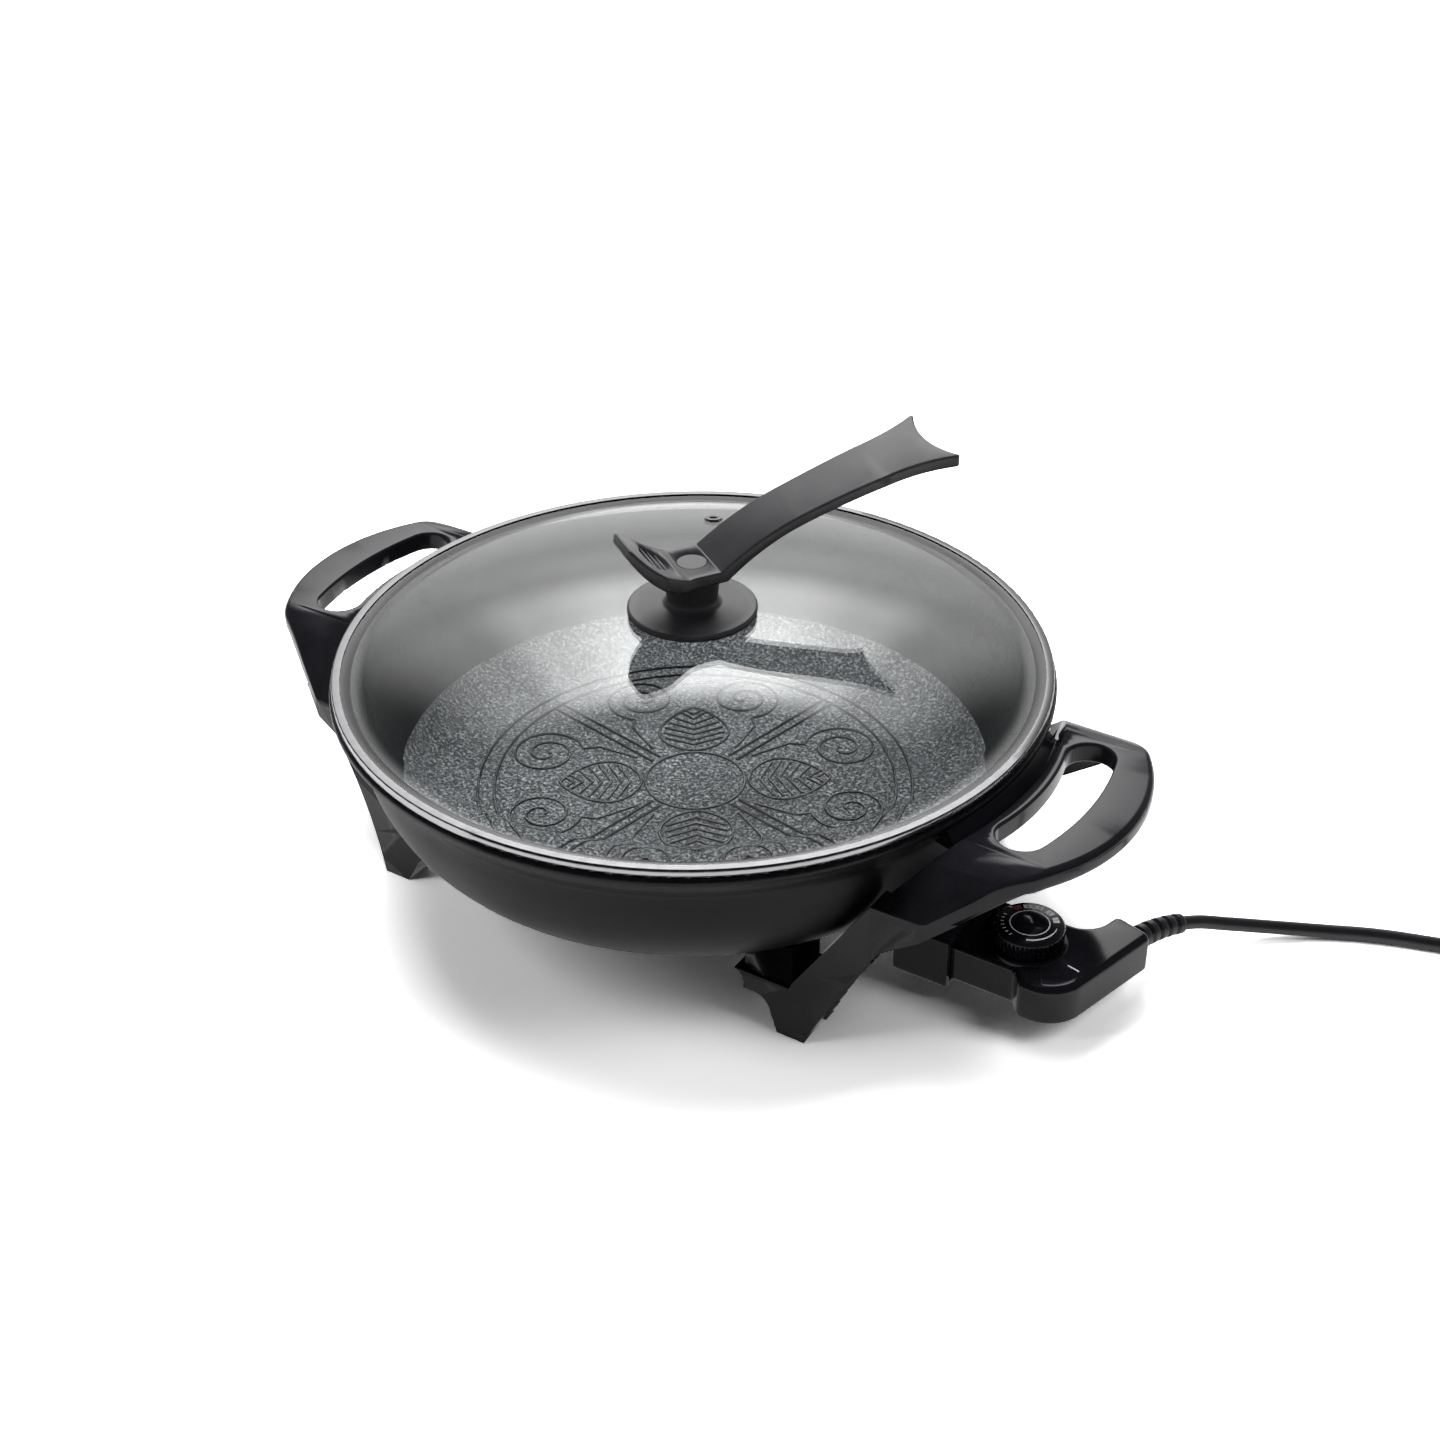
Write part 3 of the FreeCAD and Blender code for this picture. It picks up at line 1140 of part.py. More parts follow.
def make_lid_handle():
    turn = Placement(Vector(0, 0, 0), Rotation(Vector(0, 0, 1), float(s.arm_bearing)))
    side = face_of(grip_side(), lambda x, z: Vector(x, -40, z)).extrude(Vector(0, 80, 0))
    plan = face_of(grip_plan(), lambda x, y: Vector(x, y, 100)).extrude(Vector(0, 0, 200))
    shape = side.common(plan)
    top = float(grip_bottom) + 6.0

    shape = shape.makeFillet(float(s.grip_round), shape.Edges)
    recess = Part.makeCylinder(float(s.cap_radius) + 0.15, float(s.cap_depth) + 1,
                               Vector(0, 0, top - float(s.cap_depth)))
    bore = Part.makeCylinder(float(s.screw_radius + s.shaft_clearance), 20, Vector(0, 0, top - 15))
    head = Part.makeCylinder(float(s.screw_head_radius) + 0.4, 5,
                             Vector(0, 0, top - float(s.cap_depth) - float(s.screw_head_height)))
    shape = shape.cut(recess).cut(bore).cut(head)
    for hollow in make_thumb_recess():
        shape = shape.cut(hollow)
    solid("lid_handle", shape, turn)
    cap_bottom = grip_bottom + 6.0 - s.cap_depth
    cap = s.cap_radius
    revolved("lid_handle_cap", [
        (0, cap_bottom), (cap, cap_bottom), (cap, cap_bottom + s.cap_depth - 0.5), Bow(QUARTER),
        (cap - 0.5, cap_bottom + s.cap_depth), (0, cap_bottom + s.cap_depth)])
    screw("lid_handle_screw", 0, 0, cap_bottom - s.screw_head_height, s.handle_screw_length,
          pointing_up=False)


# ---------------------------------------------------------------- thermostat controller

def case_outline():
    """Top view of the case: nose, big round corner and cord arm, from the nose's front."""
    radius = s.case_corner_radius
    low = -s.case_corner_offset - radius
    heading = arm_heading()
    inner = arm_inner_corner()
    waist = inner[0] - (inner[1] - nose_half) * (1 / math.tan(heading))
    flank = s.nose_length + 2.0
    return rounded([
        (0, -nose_half, 0), (flank, -nose_half, s.case_step_radius),
        (flank + 6.5, low, s.case_step_radius),
        (s.case_corner_centre + radius * math.tan(heading / 2), low, radius),
        (s.case_arm_reach, s.case_arm_offset, s.case_arm_round),
        (inner[0], inner[1], s.case_arm_round),
        (waist, nose_half, s.case_waist_radius), (0, nose_half, 0)])


def arm_heading():
    """Direction of the arm's outer side, a tangent of the big corner."""
    x = float(s.case_arm_reach - s.case_corner_centre)
    y = float(s.case_arm_offset + s.case_corner_offset)
    return math.atan2(y, x) + math.asin(float(s.case_corner_radius) / math.hypot(x, y))


def arm_inner_corner():
    turn = math.radians(ARM_TURN)
    return (s.case_arm_reach - s.case_arm_width * math.cos(turn),
            s.case_arm_offset + s.case_arm_width * math.sin(turn))


def case_half(label, height, edge_round, upper):
    """One hollow half of the case, open at the parting line."""
    body = new_body(label)
    sketch = sketch_on(body, "XY_Plane")
    draw(sketch, case_outline())
    padded = pad(body, sketch, height)
    padded.Reversed = not upper
    document.recompute()
    opening = [f"Face{i}" for i, face in enumerate(padded.Shape.Faces, start=1)
               if face.BoundBox.ZLength < 1e-3 and abs(face.BoundBox.ZMin) < 1e-3]
    shell = body.newObject("PartDesign::Thickness", f"{label}_shell")
    shell.Base = (padded, opening)
    shell.Value = float(s.case_wall)
    shell.Reversed = True
    shell.Join = 1
    bind(shell, "Value", s.case_wall)
    document.recompute()
    far = float(height) if upper else -float(height)
    soften(body, edge_round, lambda edge: abs(edge.BoundBox.ZMin - far) < 1e-3
           and edge.BoundBox.ZLength < 1e-3)
    front = sketch_on(body, "YZ_Plane")
    for side in (-1, 1):
        draw_circle(front, (s.terminal_spacing * (side * 0.5), 0), s.terminal_radius + 0.6)
    draw_circle(front, (0, 0), s.probe_radius + s.shaft_clearance)
    pocket(body, front, s.case_wall + 0.5, upward=True)
    gland = body.newObject("PartDesign::SubtractiveCylinder", f"{label}_gland")
    middle = arm_middle()
    turn = Rotation(Vector(0, 0, 1), ARM_HEADING) * Rotation(Vector(0, 1, 0), 90)
    gland.Radius = float(s.boot_neck_radius + s.shaft_clearance)
    gland.Height = 3 * float(s.case_wall)
    inward = Vector(*arm_direction(), 0) * (-2 * float(s.case_wall))
    gland.Placement = Placement(Vector(float(middle[0]), float(middle[1]), 0) + inward, turn)
    bind(gland, "Radius", s.boot_neck_radius + s.shaft_clearance)
    document.recompute()
    return body


def arm_middle():
    inner = arm_inner_corner()
    return ((s.case_arm_reach + inner[0]) * 0.5, (s.case_arm_offset + inner[1]) * 0.5)


def arm_direction():
    return (math.cos(math.radians(ARM_HEADING)), math.sin(math.radians(ARM_HEADING)))


def on_controller(body, x=0, y=0, z=0, rotation=Rotation()):
    """Places a body at an offset from the front of the nose on the probe's axis."""
    return place(body, nose_start + x, y - s.plug_axis_offset, z + s.plug_axis_height, rotation)


def make_controller():
    lower = case_half("case_lower", s.case_lower_depth, s.case_bottom_round, upper=False)
    upper = case_half("case_upper", s.case_upper_height, s.case_top_round, upper=True)
    post_depth = s.case_lower_depth - s.case_wall
    low_posts = sketch_on(lower, "XY_Plane", -post_depth)
    for centre in case_screw_places():
        draw_circle(low_posts, centre, s.screw_head_radius + 1)
    pad(lower, low_posts, post_depth, "posts")
    high_posts = sketch_on(upper, "XY_Plane")
    for centre in case_screw_places():
        draw_circle(high_posts, centre, s.screw_radius + 1.4)
    pad(upper, high_posts, s.case_upper_height - s.case_wall, "posts")
    for body, radius, start, length in (
            (lower, s.screw_radius + s.shaft_clearance, -s.case_lower_depth, s.case_lower_depth),
            (lower, s.screw_head_radius + 0.2, -s.case_lower_depth, s.case_lower_depth - 4),
            (upper, s.screw_radius, 0, s.case_screw_bite)):
        holes = sketch_on(body, "XY_Plane", start)
        for centre in case_screw_places():
            draw_circle(holes, centre, radius)
        pocket(body, holes, length, upward=True)
    collar = sketch_on(upper, "XY_Plane", s.case_upper_height - 1)
    draw_circle(collar, (s.dial_offset_x, -s.dial_offset_y), s.dial_collar_radius)
    pad(upper, collar, s.dial_collar_height + 1, "collar")
    collar_top = s.case_upper_height + s.dial_collar_height
    soften(upper, s.dial_collar_height * 0.5, lambda edge: edge.BoundBox.ZLength < 1e-3
           and abs(edge.BoundBox.ZMin - float(collar_top)) < 1e-3)
    shaft_hole = sketch_on(upper, "XY_Plane", collar_top)
    draw_circle(shaft_hole, (s.dial_offset_x, -s.dial_offset_y),
                s.dial_shaft_radius + s.shaft_clearance)
    pocket(upper, shaft_hole, collar_top)
    on_controller(lower)
    on_controller(upper)
    for number, centre in enumerate(case_screw_places(), start=1):
        driven = screw(f"case_screw_{number}", 0, 0, 0, s.case_screw_bite - 0.5 + 4)
        on_controller(driven, centre[0], centre[1], -4)

    block = new_body("thermostat")
    sketch = sketch_on(block, "XY_Plane")
    back = s.dial_offset_x + s.thermostat_width * 0.5
    front = s.dial_offset_x - s.thermostat_width * 0.5
    half = s.thermostat_width * 0.5
    draw(sketch, [(front, -half), (back, -half), (back, half), (front, half)])
    deep = s.case_lower_depth - s.case_wall
    tall = s.case_upper_height - s.case_wall - 1.5
    pad(block, sketch, deep + tall)
    seat_hole = sketch_on(block, "XY_Plane", deep + tall)
    draw_circle(seat_hole, (s.dial_offset_x, -s.dial_offset_y),
                s.dial_shaft_radius + s.shaft_clearance)
    pocket(block, seat_hole, s.shaft_seat_depth)
    on_controller(block, z=-deep)

    for side, name in ((-1, "front"), (1, "rear")):
        socket = new_body(f"terminal_socket_{name}")
        sketch = sketch_on(socket, "YZ_Plane")
        y = s.terminal_spacing * (side * 0.5)
        wide = s.terminal_radius + 2.0
        draw(sketch, [(y - wide, -deep), (y + wide, -deep), (y + wide, wide), (y - wide, wide)])
        draw_circle(sketch, (y, 0), s.terminal_radius + s.shaft_clearance)
        pad(socket, sketch, terminal_end - nose_start - s.case_wall + 2)
        on_controller(socket, s.case_wall)

    probe_length = nose_start + front - probe_end
    along_x("thermostat_probe", [
        (0, 0), (s.probe_radius - 1, 0), Bow(QUARTER), (s.probe_radius, 1),
        (s.probe_radius, probe_length), (0, probe_length)],
        probe_end, -s.plug_axis_offset, s.plug_axis_height)

    lamp = new_body("pilot_lamp")
    sketch = sketch_on(lamp, "XY_Plane", s.case_upper_height)
    x = s.pilot_offset_x
    y = nose_half - s.pilot_inset
    draw(sketch, [(x - 3, y - 1.6), (x + 3, y - 1.6), Bow(0.5), (x + 3, y + 1.6),
                  (x - 3, y + 1.6), Bow(0.5)])
    pad(lamp, sketch, s.pilot_height)
    soften(lamp, 0.7, lambda edge: edge.BoundBox.ZMin > float(s.case_upper_height) + 0.5
           and edge.BoundBox.ZLength < 1e-3)
    on_controller(lamp)


def case_screw_places():
    """Two screws in the nose and one in the cord arm."""
    side = nose_half - s.case_wall - s.screw_head_radius + 0.6
    return [(s.case_wall + 22.0, -side), (s.case_wall + 22.0, side), (s.case_arm_reach - 14.0, 14.0)]


def make_dial():
    """Ribbed knob with a bevelled face, and the shaft it turns."""
    body = revolved("dial", [
        (0, 0), (s.dial_radius, 0), (s.dial_radius, s.dial_height - s.dial_face_inset),
        (s.dial_radius - s.dial_face_inset, s.dial_height), (0, s.dial_height)])
    flute = sketch_on(body, "XY_Plane")
    draw_circle(flute, (s.dial_radius + s.dial_rib_depth, 0), s.dial_rib_depth * 2)
    cut = pocket(body, flute, s.dial_height - s.dial_face_inset - 1.0, upward=True)
    axis = [item for item in body.Origin.OriginFeatures if item.Role == "Z_Axis"][0]
    ribs = body.newObject("PartDesign::PolarPattern", "dial_ribs")
    ribs.Originals = [cut]
    ribs.Axis = (axis, [""])
    ribs.Angle = 360
    ribs.Occurrences = int(float(s.dial_rib_count))
    bind(ribs, "Occurrences", s.dial_rib_count)
    body.Tip = ribs
    document.recompute()
    socket = sketch_on(body, "XY_Plane")
    draw_circle(socket, (0, 0), s.dial_shaft_radius)
    pocket(body, socket, s.dial_height * 0.6, upward=True)
    base = s.case_upper_height + s.dial_collar_height + s.dial_gap
    on_controller(body, s.dial_offset_x, -s.dial_offset_y, base)
    seat_level = s.case_upper_height - s.case_wall - 1.5 - s.shaft_seat_depth + s.shaft_clearance
    length = base + s.dial_height * 0.6 - seat_level
    shaft = revolved("dial_shaft", [
        (0, 0), (s.dial_shaft_radius, 0), (s.dial_shaft_radius, length), (0, length)])
    on_controller(shaft, s.dial_offset_x, -s.dial_offset_y, seat_level)


# ---------------------------------------------------------------- mains cord

def boot_frame():
    """Start, first direction, bend direction, bend radius and bend angle of the strain relief."""
    x, y = arm_middle()
    start = Vector(float(nose_start) + float(x), float(y) - float(s.plug_axis_offset),
                   float(s.plug_axis_height))
    first = Vector(*arm_direction(), 0)
    turned = math.radians(ARM_HEADING - float(s.boot_turn))
    droop = math.radians(float(s.boot_droop))
    last = Vector(math.cos(turned) * math.cos(droop), math.sin(turned) * math.cos(droop),
                  -math.sin(droop))
    angle = first.getAngle(last)
    side = (last - first * math.cos(angle)).normalize()
    return start, first, side, float(s.boot_length) / angle, angle


def along_boot(share):
    """Point and direction on the strain relief's axis."""
    start, first, side, radius, angle = boot_frame()
    turned = angle * share
    point = start + first * (radius * math.sin(turned)) + side * (radius * (1 - math.cos(turned)))
    return point, first * math.cos(turned) + side * math.sin(turned)


def make_boot():
    """Bent rubber sleeve with ribs, its neck held in the case's wall."""
    start, heading = along_boot(0)
    middle, _ = along_boot(0.5)
    end, _ = along_boot(1)
    core = float(s.boot_tip_radius) - 0.9
    path = Part.Wire([Part.Arc(start, middle, end).toShape()])
    ring = Part.Wire(Part.Circle(start, heading, core).toShape())
    pieces = [path.makePipeShell([ring], True, False)]
    count = int(float(s.boot_rib_count))
    root = float(s.boot_root_radius)
    fall = root - float(s.boot_tip_radius)
    pitch = 1 / (count + 0.5)
    thick = float(s.boot_length) * pitch * 0.62
    for rib in range(count):
        share = (rib + 0.75) * pitch
        point, direction = along_boot(share)
        wide = root - fall * share
        pieces.append(Part.makeCone(wide, wide - 0.25, thick, point, direction))
    wall = float(s.case_wall)
    neck = start - heading * (wall + 2)
    pieces.append(Part.makeCylinder(float(s.boot_neck_radius), wall + 2, neck, heading))
    pieces.append(Part.makeCone(root, root - 0.6, 3.2, start, heading))
    solid("strain_relief", joined(pieces))


def polar(centre, radius, degrees, z):
    angle = math.radians(degrees)
    return centre + Vector(radius * math.cos(angle), radius * math.sin(angle), z)


def make_cord():
    """Cord on the floor, its coil and the plug at the far end."""
    radius = float(s.cord_radius)
    tip, heading = along_boot(1)
    outer = float(s.coil_radius) + radius
    away = float(s.coil_distance)
    zero = Vector(float(nose_start), -float(s.plug_axis_offset), 0)
    centre = zero + Vector(away, away * COIL_OFFSET, 0)
    into = polar(centre, outer, COIL_ENTRY, radius)
    into_way = polar(Vector(), 1, COIL_ENTRY - 90, 0)
    out = polar(centre, outer, COIL_EXIT, 3 * radius)
    out_way = polar(Vector(), 1, COIL_EXIT - 90, 0)
    stub = COIL_STUB
    lying = zero + Vector(0, 0, radius)
    route = [tip, tip + heading * 10] + [lying + Vector(*point) * away for point in CORD_ROUTE]
    route += [into - into_way * (stub + 21), into - into_way * stub]
    shape, radii, length = tube(route, radius)
    solid("cord", shape)
    print("cord radii", [round(value, 1) for value in radii], "length", round(length, 1))
    print("cord points", [tuple(round(v, 2) for v in point) for point in route])

    ring = face_of([
        (outer - 3 * radius + 1, 0), (outer + radius - 1, 0), Bow(QUARTER), (outer + radius, 1),
        (outer + radius, 4 * radius - 1), Bow(QUARTER), (outer + radius - 1, 4 * radius),
        (outer - 3 * radius + 1, 4 * radius), Bow(QUARTER), (outer - 3 * radius, 4 * radius - 1),
        (outer - 3 * radius, 1), Bow(QUARTER)], lambda x, z: centre + Vector(x, 0, z))
    ring = ring.revolve(centre, Vector(0, 0, 1), 360)
    slim = radius - STUB_INSET
    stubs = [Part.makeCylinder(slim, stub, into - into_way * stub, into_way),
             Part.makeCylinder(slim, stub, out, out_way)]
    solid("cord_coil", joined([ring] + stubs))

    face = float(s.plug_face_radius)
    tail = 20.0
    reach = tail + float(s.plug_length + s.plug_boot_length - s.plug_rim_depth)
    rise = out.z
    lift = math.acos(rise / math.hypot(reach, face)) - math.atan2(reach, face)
    turn = math.radians(COIL_EXIT - 90 - TAIL_TURN)
    plug_way = Vector(math.cos(turn) * math.cos(lift), math.sin(turn) * math.cos(lift),
                      math.sin(lift))
    start = out + out_way * stub
    bend = start + out_way * tail
    end = bend + plug_way * tail
    shape, radii, length = tube([start, bend, end], radius)
    solid("cord_tail", shape)
    print("tail radii", [round(value, 1) for value in radii], "length", round(length, 1))
    print("tail points", [tuple(round(v, 2) for v in point) for point in (start, bend, end)])

    turned = Rotation(Vector(0, 0, 1), plug_way)
    sleeve = s.plug_boot_length
    body = revolved("plug", [
        (0, 0), (s.cord_radius + 1.2, 0), (s.cord_radius + 2.6, sleeve),
        (s.plug_face_radius * 0.52, sleeve + 1.5), Bow(-0.06),
        (s.plug_face_radius * 0.8, sleeve + s.plug_length - 12), Bow(-0.1),
        (s.plug_face_radius, sleeve + s.plug_length - s.plug_rim_depth),
        (s.plug_face_radius, sleeve + s.plug_length), (0, sleeve + s.plug_length)])
    body.Placement = Placement(end, turned)
    for side, name in ((-1, "left"), (1, "right")):
        pin = revolved(f"plug_pin_{name}", [
            (0, 0), (s.plug_blade_radius, 0),
            (s.plug_blade_radius, s.plug_blade_length - s.pin_tip_round), Bow(QUARTER),
            (s.plug_blade_radius - s.pin_tip_round, s.plug_blade_length),
            (0, s.plug_blade_length)])
        across = Vector(0, side * float(s.plug_blade_spacing) / 2, 0)
        base = Vector(0, 0, float(s.plug_length) + float(sleeve))
        pin.Placement = Placement(end + turned.multVec(base + across), turned)


# ---------------------------------------------------------------- whole object

make_pan()
make_element()
make_terminals()
make_terminal_plate()
make_shroud()
make_probe_guide()
make_bracket("handle_bracket_right", turned=False)
make_bracket("handle_bracket_left", turned=True)
for name, place_of in zip(("left_front", "left_rear", "right_front", "right_rear"),
                          (leg_screw_places()[i] for i in (0, 1, 2, 3))):
    screw(f"leg_screw_{name}", place_of[0], place_of[1], s.shelf_height - screw_recess(),
          boss_bottom - s.shelf_height + s.screw_bite + screw_recess() - 0.5)
for name, place_of in zip(("front", "rear"), shroud_screw_places()):
    screw(f"shroud_screw_{name}", place_of[0], place_of[1], shroud_top - s.shroud_wall,
          s.screw_bite + s.shroud_wall - 0.5)
make_lid()
make_knob()
make_lid_handle()
make_controller()
make_dial()
make_boot()
make_cord()
document.recompute()

failed = [item.Label for item in document.Objects if {"Invalid", "Error"} & set(item.State)]
if failed:
    raise RuntimeError("failed objects: " + ", ".join(failed))
pieces = [item for item in document.Objects
          if item.isDerivedFrom("PartDesign::Body") or item.TypeId == "Part::Feature"]
for piece in pieces:
    if piece.Shape.isNull() or not piece.Shape.isValid() or len(piece.Shape.Solids) != 1:
        raise RuntimeError(f"{piece.Label} is not one sound solid: {len(piece.Shape.Solids)}")

os.makedirs("parts", exist_ok=True)
for piece in pieces:
    piece.Shape.exportStep(f"parts/{piece.Label}.step")
print(len(pieces), "pieces")
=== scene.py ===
import json
import math

import bmesh
import bpy
from mathutils import Matrix, Vector

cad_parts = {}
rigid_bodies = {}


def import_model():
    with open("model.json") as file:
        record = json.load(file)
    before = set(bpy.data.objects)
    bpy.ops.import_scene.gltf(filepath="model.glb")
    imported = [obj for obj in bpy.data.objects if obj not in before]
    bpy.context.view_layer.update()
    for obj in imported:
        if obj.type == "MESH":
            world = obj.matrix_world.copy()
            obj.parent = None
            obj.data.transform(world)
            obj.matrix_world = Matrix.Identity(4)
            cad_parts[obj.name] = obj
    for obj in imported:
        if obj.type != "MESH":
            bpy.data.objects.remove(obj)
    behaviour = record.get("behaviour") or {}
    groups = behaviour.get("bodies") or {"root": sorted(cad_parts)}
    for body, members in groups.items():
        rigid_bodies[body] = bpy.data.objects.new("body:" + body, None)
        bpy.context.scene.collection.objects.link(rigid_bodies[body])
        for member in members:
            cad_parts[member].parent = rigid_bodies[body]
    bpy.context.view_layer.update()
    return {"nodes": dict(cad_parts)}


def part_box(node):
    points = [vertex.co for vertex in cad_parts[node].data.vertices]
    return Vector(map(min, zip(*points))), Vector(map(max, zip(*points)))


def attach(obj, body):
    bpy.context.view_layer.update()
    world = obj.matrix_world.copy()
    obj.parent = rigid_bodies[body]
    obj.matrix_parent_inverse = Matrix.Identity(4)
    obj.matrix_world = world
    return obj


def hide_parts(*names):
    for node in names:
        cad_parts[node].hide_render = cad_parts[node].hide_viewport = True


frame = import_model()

scene = bpy.context.scene
nodes = frame["nodes"]


# Camera

view = {"azimuth": 32.94, "elevation": 33.0, "roll": -0.48,
        "place": (0.5245, -0.7853, 0.6951), "focalPixels": 2203.3, "framePixels": 1440,
        "sensor": 36.0}


def makeCamera():
    azimuth, elevation, roll = (math.radians(view[k]) for k in ("azimuth", "elevation", "roll"))
    ahead = Vector((-math.sin(azimuth) * math.cos(elevation),
                    math.cos(azimuth) * math.cos(elevation), -math.sin(elevation)))
    right = Vector((math.cos(azimuth), math.sin(azimuth), 0))
    up = right.cross(ahead)
    rolledRight = right * math.cos(roll) + up * math.sin(roll)
    rolledUp = up * math.cos(roll) - right * math.sin(roll)
    data = bpy.data.cameras.new("camera")
    data.sensor_width = view["sensor"]
    data.lens = view["focalPixels"] * view["sensor"] / view["framePixels"]
    data.clip_start = 0.01
    camera = bpy.data.objects.new("camera", data)
    scene.collection.objects.link(camera)
    turned = Matrix((rolledRight, rolledUp, -ahead)).transposed().to_4x4()
    camera.matrix_world = Matrix.Translation(view["place"]) @ turned
    scene.camera = camera


makeCamera()
print("camera made")


# Small helpers

def linkMesh(name, mesh):
    piece = bpy.data.objects.new(name, mesh)
    scene.collection.objects.link(piece)
    return piece


def curveToMesh(piece):
    bpy.context.view_layer.update()
    evaluated = piece.evaluated_get(bpy.context.evaluated_depsgraph_get())
    mesh = bpy.data.meshes.new_from_object(evaluated)
    mesh.transform(piece.matrix_world)
    name = piece.name
    bpy.data.objects.remove(piece)
    return linkMesh(name, mesh)


def smoothByAngle(mesh, degrees):
    for face in mesh.polygons:
        face.use_smooth = True
    mesh.set_sharp_from_angle(angle=math.radians(degrees))


def giveMaterial(piece, material):
    piece.data.materials.clear()
    piece.data.materials.append(material)


def nodeBody(node):
    return nodes[node].parent.name.split(":")[1]


def smoothCopy(node, material, degrees=28):
    mesh = nodes[node].data.copy()
    work = bmesh.new()
    work.from_mesh(mesh)
    bmesh.ops.remove_doubles(work, verts=work.verts, dist=2e-6)
    work.to_mesh(mesh)
    work.free()
    smoothByAngle(mesh, degrees)
    piece = linkMesh(node + "Finish", mesh)
    giveMaterial(piece, material)
    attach(piece, nodeBody(node))
    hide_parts(node)
    return piece


# Geometry node trees

class Forms:

    def __init__(self, name, inputs):
        self.tree = bpy.data.node_groups.new(name, "GeometryNodeTree")
        face = self.tree.interface
        face.new_socket("Geometry", in_out="INPUT", socket_type="NodeSocketGeometry")
        for label, kind in inputs:
            face.new_socket(label, in_out="INPUT", socket_type="NodeSocket" + kind)
        face.new_socket("Finish", in_out="INPUT", socket_type="NodeSocketMaterial")
        face.new_socket("Geometry", in_out="OUTPUT", socket_type="NodeSocketGeometry")
        self.given = self.tree.nodes.new("NodeGroupInput").outputs

    def add(self, kind, sockets, **settings):
        node = self.tree.nodes.new(kind)
        for key, value in settings.items():
            setattr(node, key, value)
        for key, value in sockets.items():
            for part in value if isinstance(value, list) else [value]:
                if isinstance(part, bpy.types.NodeSocket):
                    self.tree.links.new(part, node.inputs[key])
                else:
                    node.inputs[key].default_value = part
        return node.outputs[0]

    def finish(self, geometry):
        whole = self.add("GeometryNodeRealizeInstances", {"Geometry": geometry})
        painted = self.add("GeometryNodeSetMaterial",
                           {"Geometry": whole, "Material": self.given["Finish"]})
        self.tree.links.new(painted, self.tree.nodes.new("NodeGroupOutput").inputs["Geometry"])
        return self.tree


def lineMesh(name, lines, closed=False):
    points = [tuple(point) for line in lines for point in line]
    edges, start = [], 0
    for line in lines:
        edges += [(start + i, start + i + 1) for i in range(len(line) - 1)]
        if closed:
            edges.append((start + len(line) - 1, start))
        start += len(line)
    mesh = bpy.data.meshes.new(name)
    mesh.from_pydata(points, edges, [])
    return mesh


def growFromLines(name, mesh, tree, values, smoothAngle):
    piece = linkMesh(name, mesh)
    modifier = piece.modifiers.new(tree.name, "NODES")
    modifier.node_group = tree
    for item in tree.interface.items_tree:
        if item.name in values:
            modifier[item.identifier] = values[item.name]
    bpy.context.view_layer.update()
    evaluated = piece.evaluated_get(bpy.context.evaluated_depsgraph_get())
    grown = bpy.data.meshes.new_from_object(evaluated)
    piece.modifiers.clear()
    piece.data = grown
    smoothByAngle(grown, smoothAngle)
    return piece


# Materials

patinaSockets = {
    "INPUT": (("Vector", "Vector"), ("Cloud Scale", "Float"), ("Cloud Detail", "Float"),
              ("Smoothest", "Float"), ("Roughest", "Float"), ("Tone Scale", "Float"),
              ("Tone Low", "Float"), ("Tone High", "Float"), ("First Tone", "Color"),
              ("Second Tone", "Color"), ("Grain Scale", "Float")),
    "OUTPUT": (("Tone", "Color"), ("Roughness", "Float"), ("Grain", "Float"))}


def buildPatinaGroup():  # cloudy roughness, two tones and a fine grain
    tree = bpy.data.node_groups.new("patina", "ShaderNodeTree")
    for side, sockets in patinaSockets.items():
        for name, kind in sockets:
            tree.interface.new_socket(name, in_out=side, socket_type="NodeSocket" + kind)
    given = tree.nodes.new("NodeGroupInput").outputs
    wanted = tree.nodes.new("NodeGroupOutput").inputs

    def patches(scale, detail):
        node = tree.nodes.new("ShaderNodeTexNoise")
        node.inputs["Detail"].default_value = 2.0
        tree.links.new(given["Vector"], node.inputs["Vector"])
        tree.links.new(given[scale], node.inputs["Scale"])
        if detail:
            tree.links.new(given[detail], node.inputs["Detail"])
        return node.outputs["Fac"]

    cloud = tree.nodes.new("ShaderNodeMapRange")
    cloud.inputs["From Min"].default_value = 0.3
    cloud.inputs["From Max"].default_value = 0.7
    tree.links.new(patches("Cloud Scale", "Cloud Detail"), cloud.inputs["Value"])
    tree.links.new(given["Smoothest"], cloud.inputs["To Min"])
    tree.links.new(given["Roughest"], cloud.inputs["To Max"])
    tree.links.new(cloud.outputs["Result"], wanted["Roughness"])

    share = tree.nodes.new("ShaderNodeMapRange")
    tree.links.new(patches("Tone Scale", None), share.inputs["Value"])
    tree.links.new(given["Tone Low"], share.inputs["From Min"])
    tree.links.new(given["Tone High"], share.inputs["From Max"])
    tone = tree.nodes.new("ShaderNodeMix")
    tone.data_type = "RGBA"
    tree.links.new(share.outputs["Result"], tone.inputs[0])
    tree.links.new(given["First Tone"], tone.inputs[6])
    tree.links.new(given["Second Tone"], tone.inputs[7])
    tree.links.new(tone.outputs[2], wanted["Tone"])

    tree.links.new(patches("Grain Scale", None), wanted["Grain"])
    return tree


patinaGroup = buildPatinaGroup()


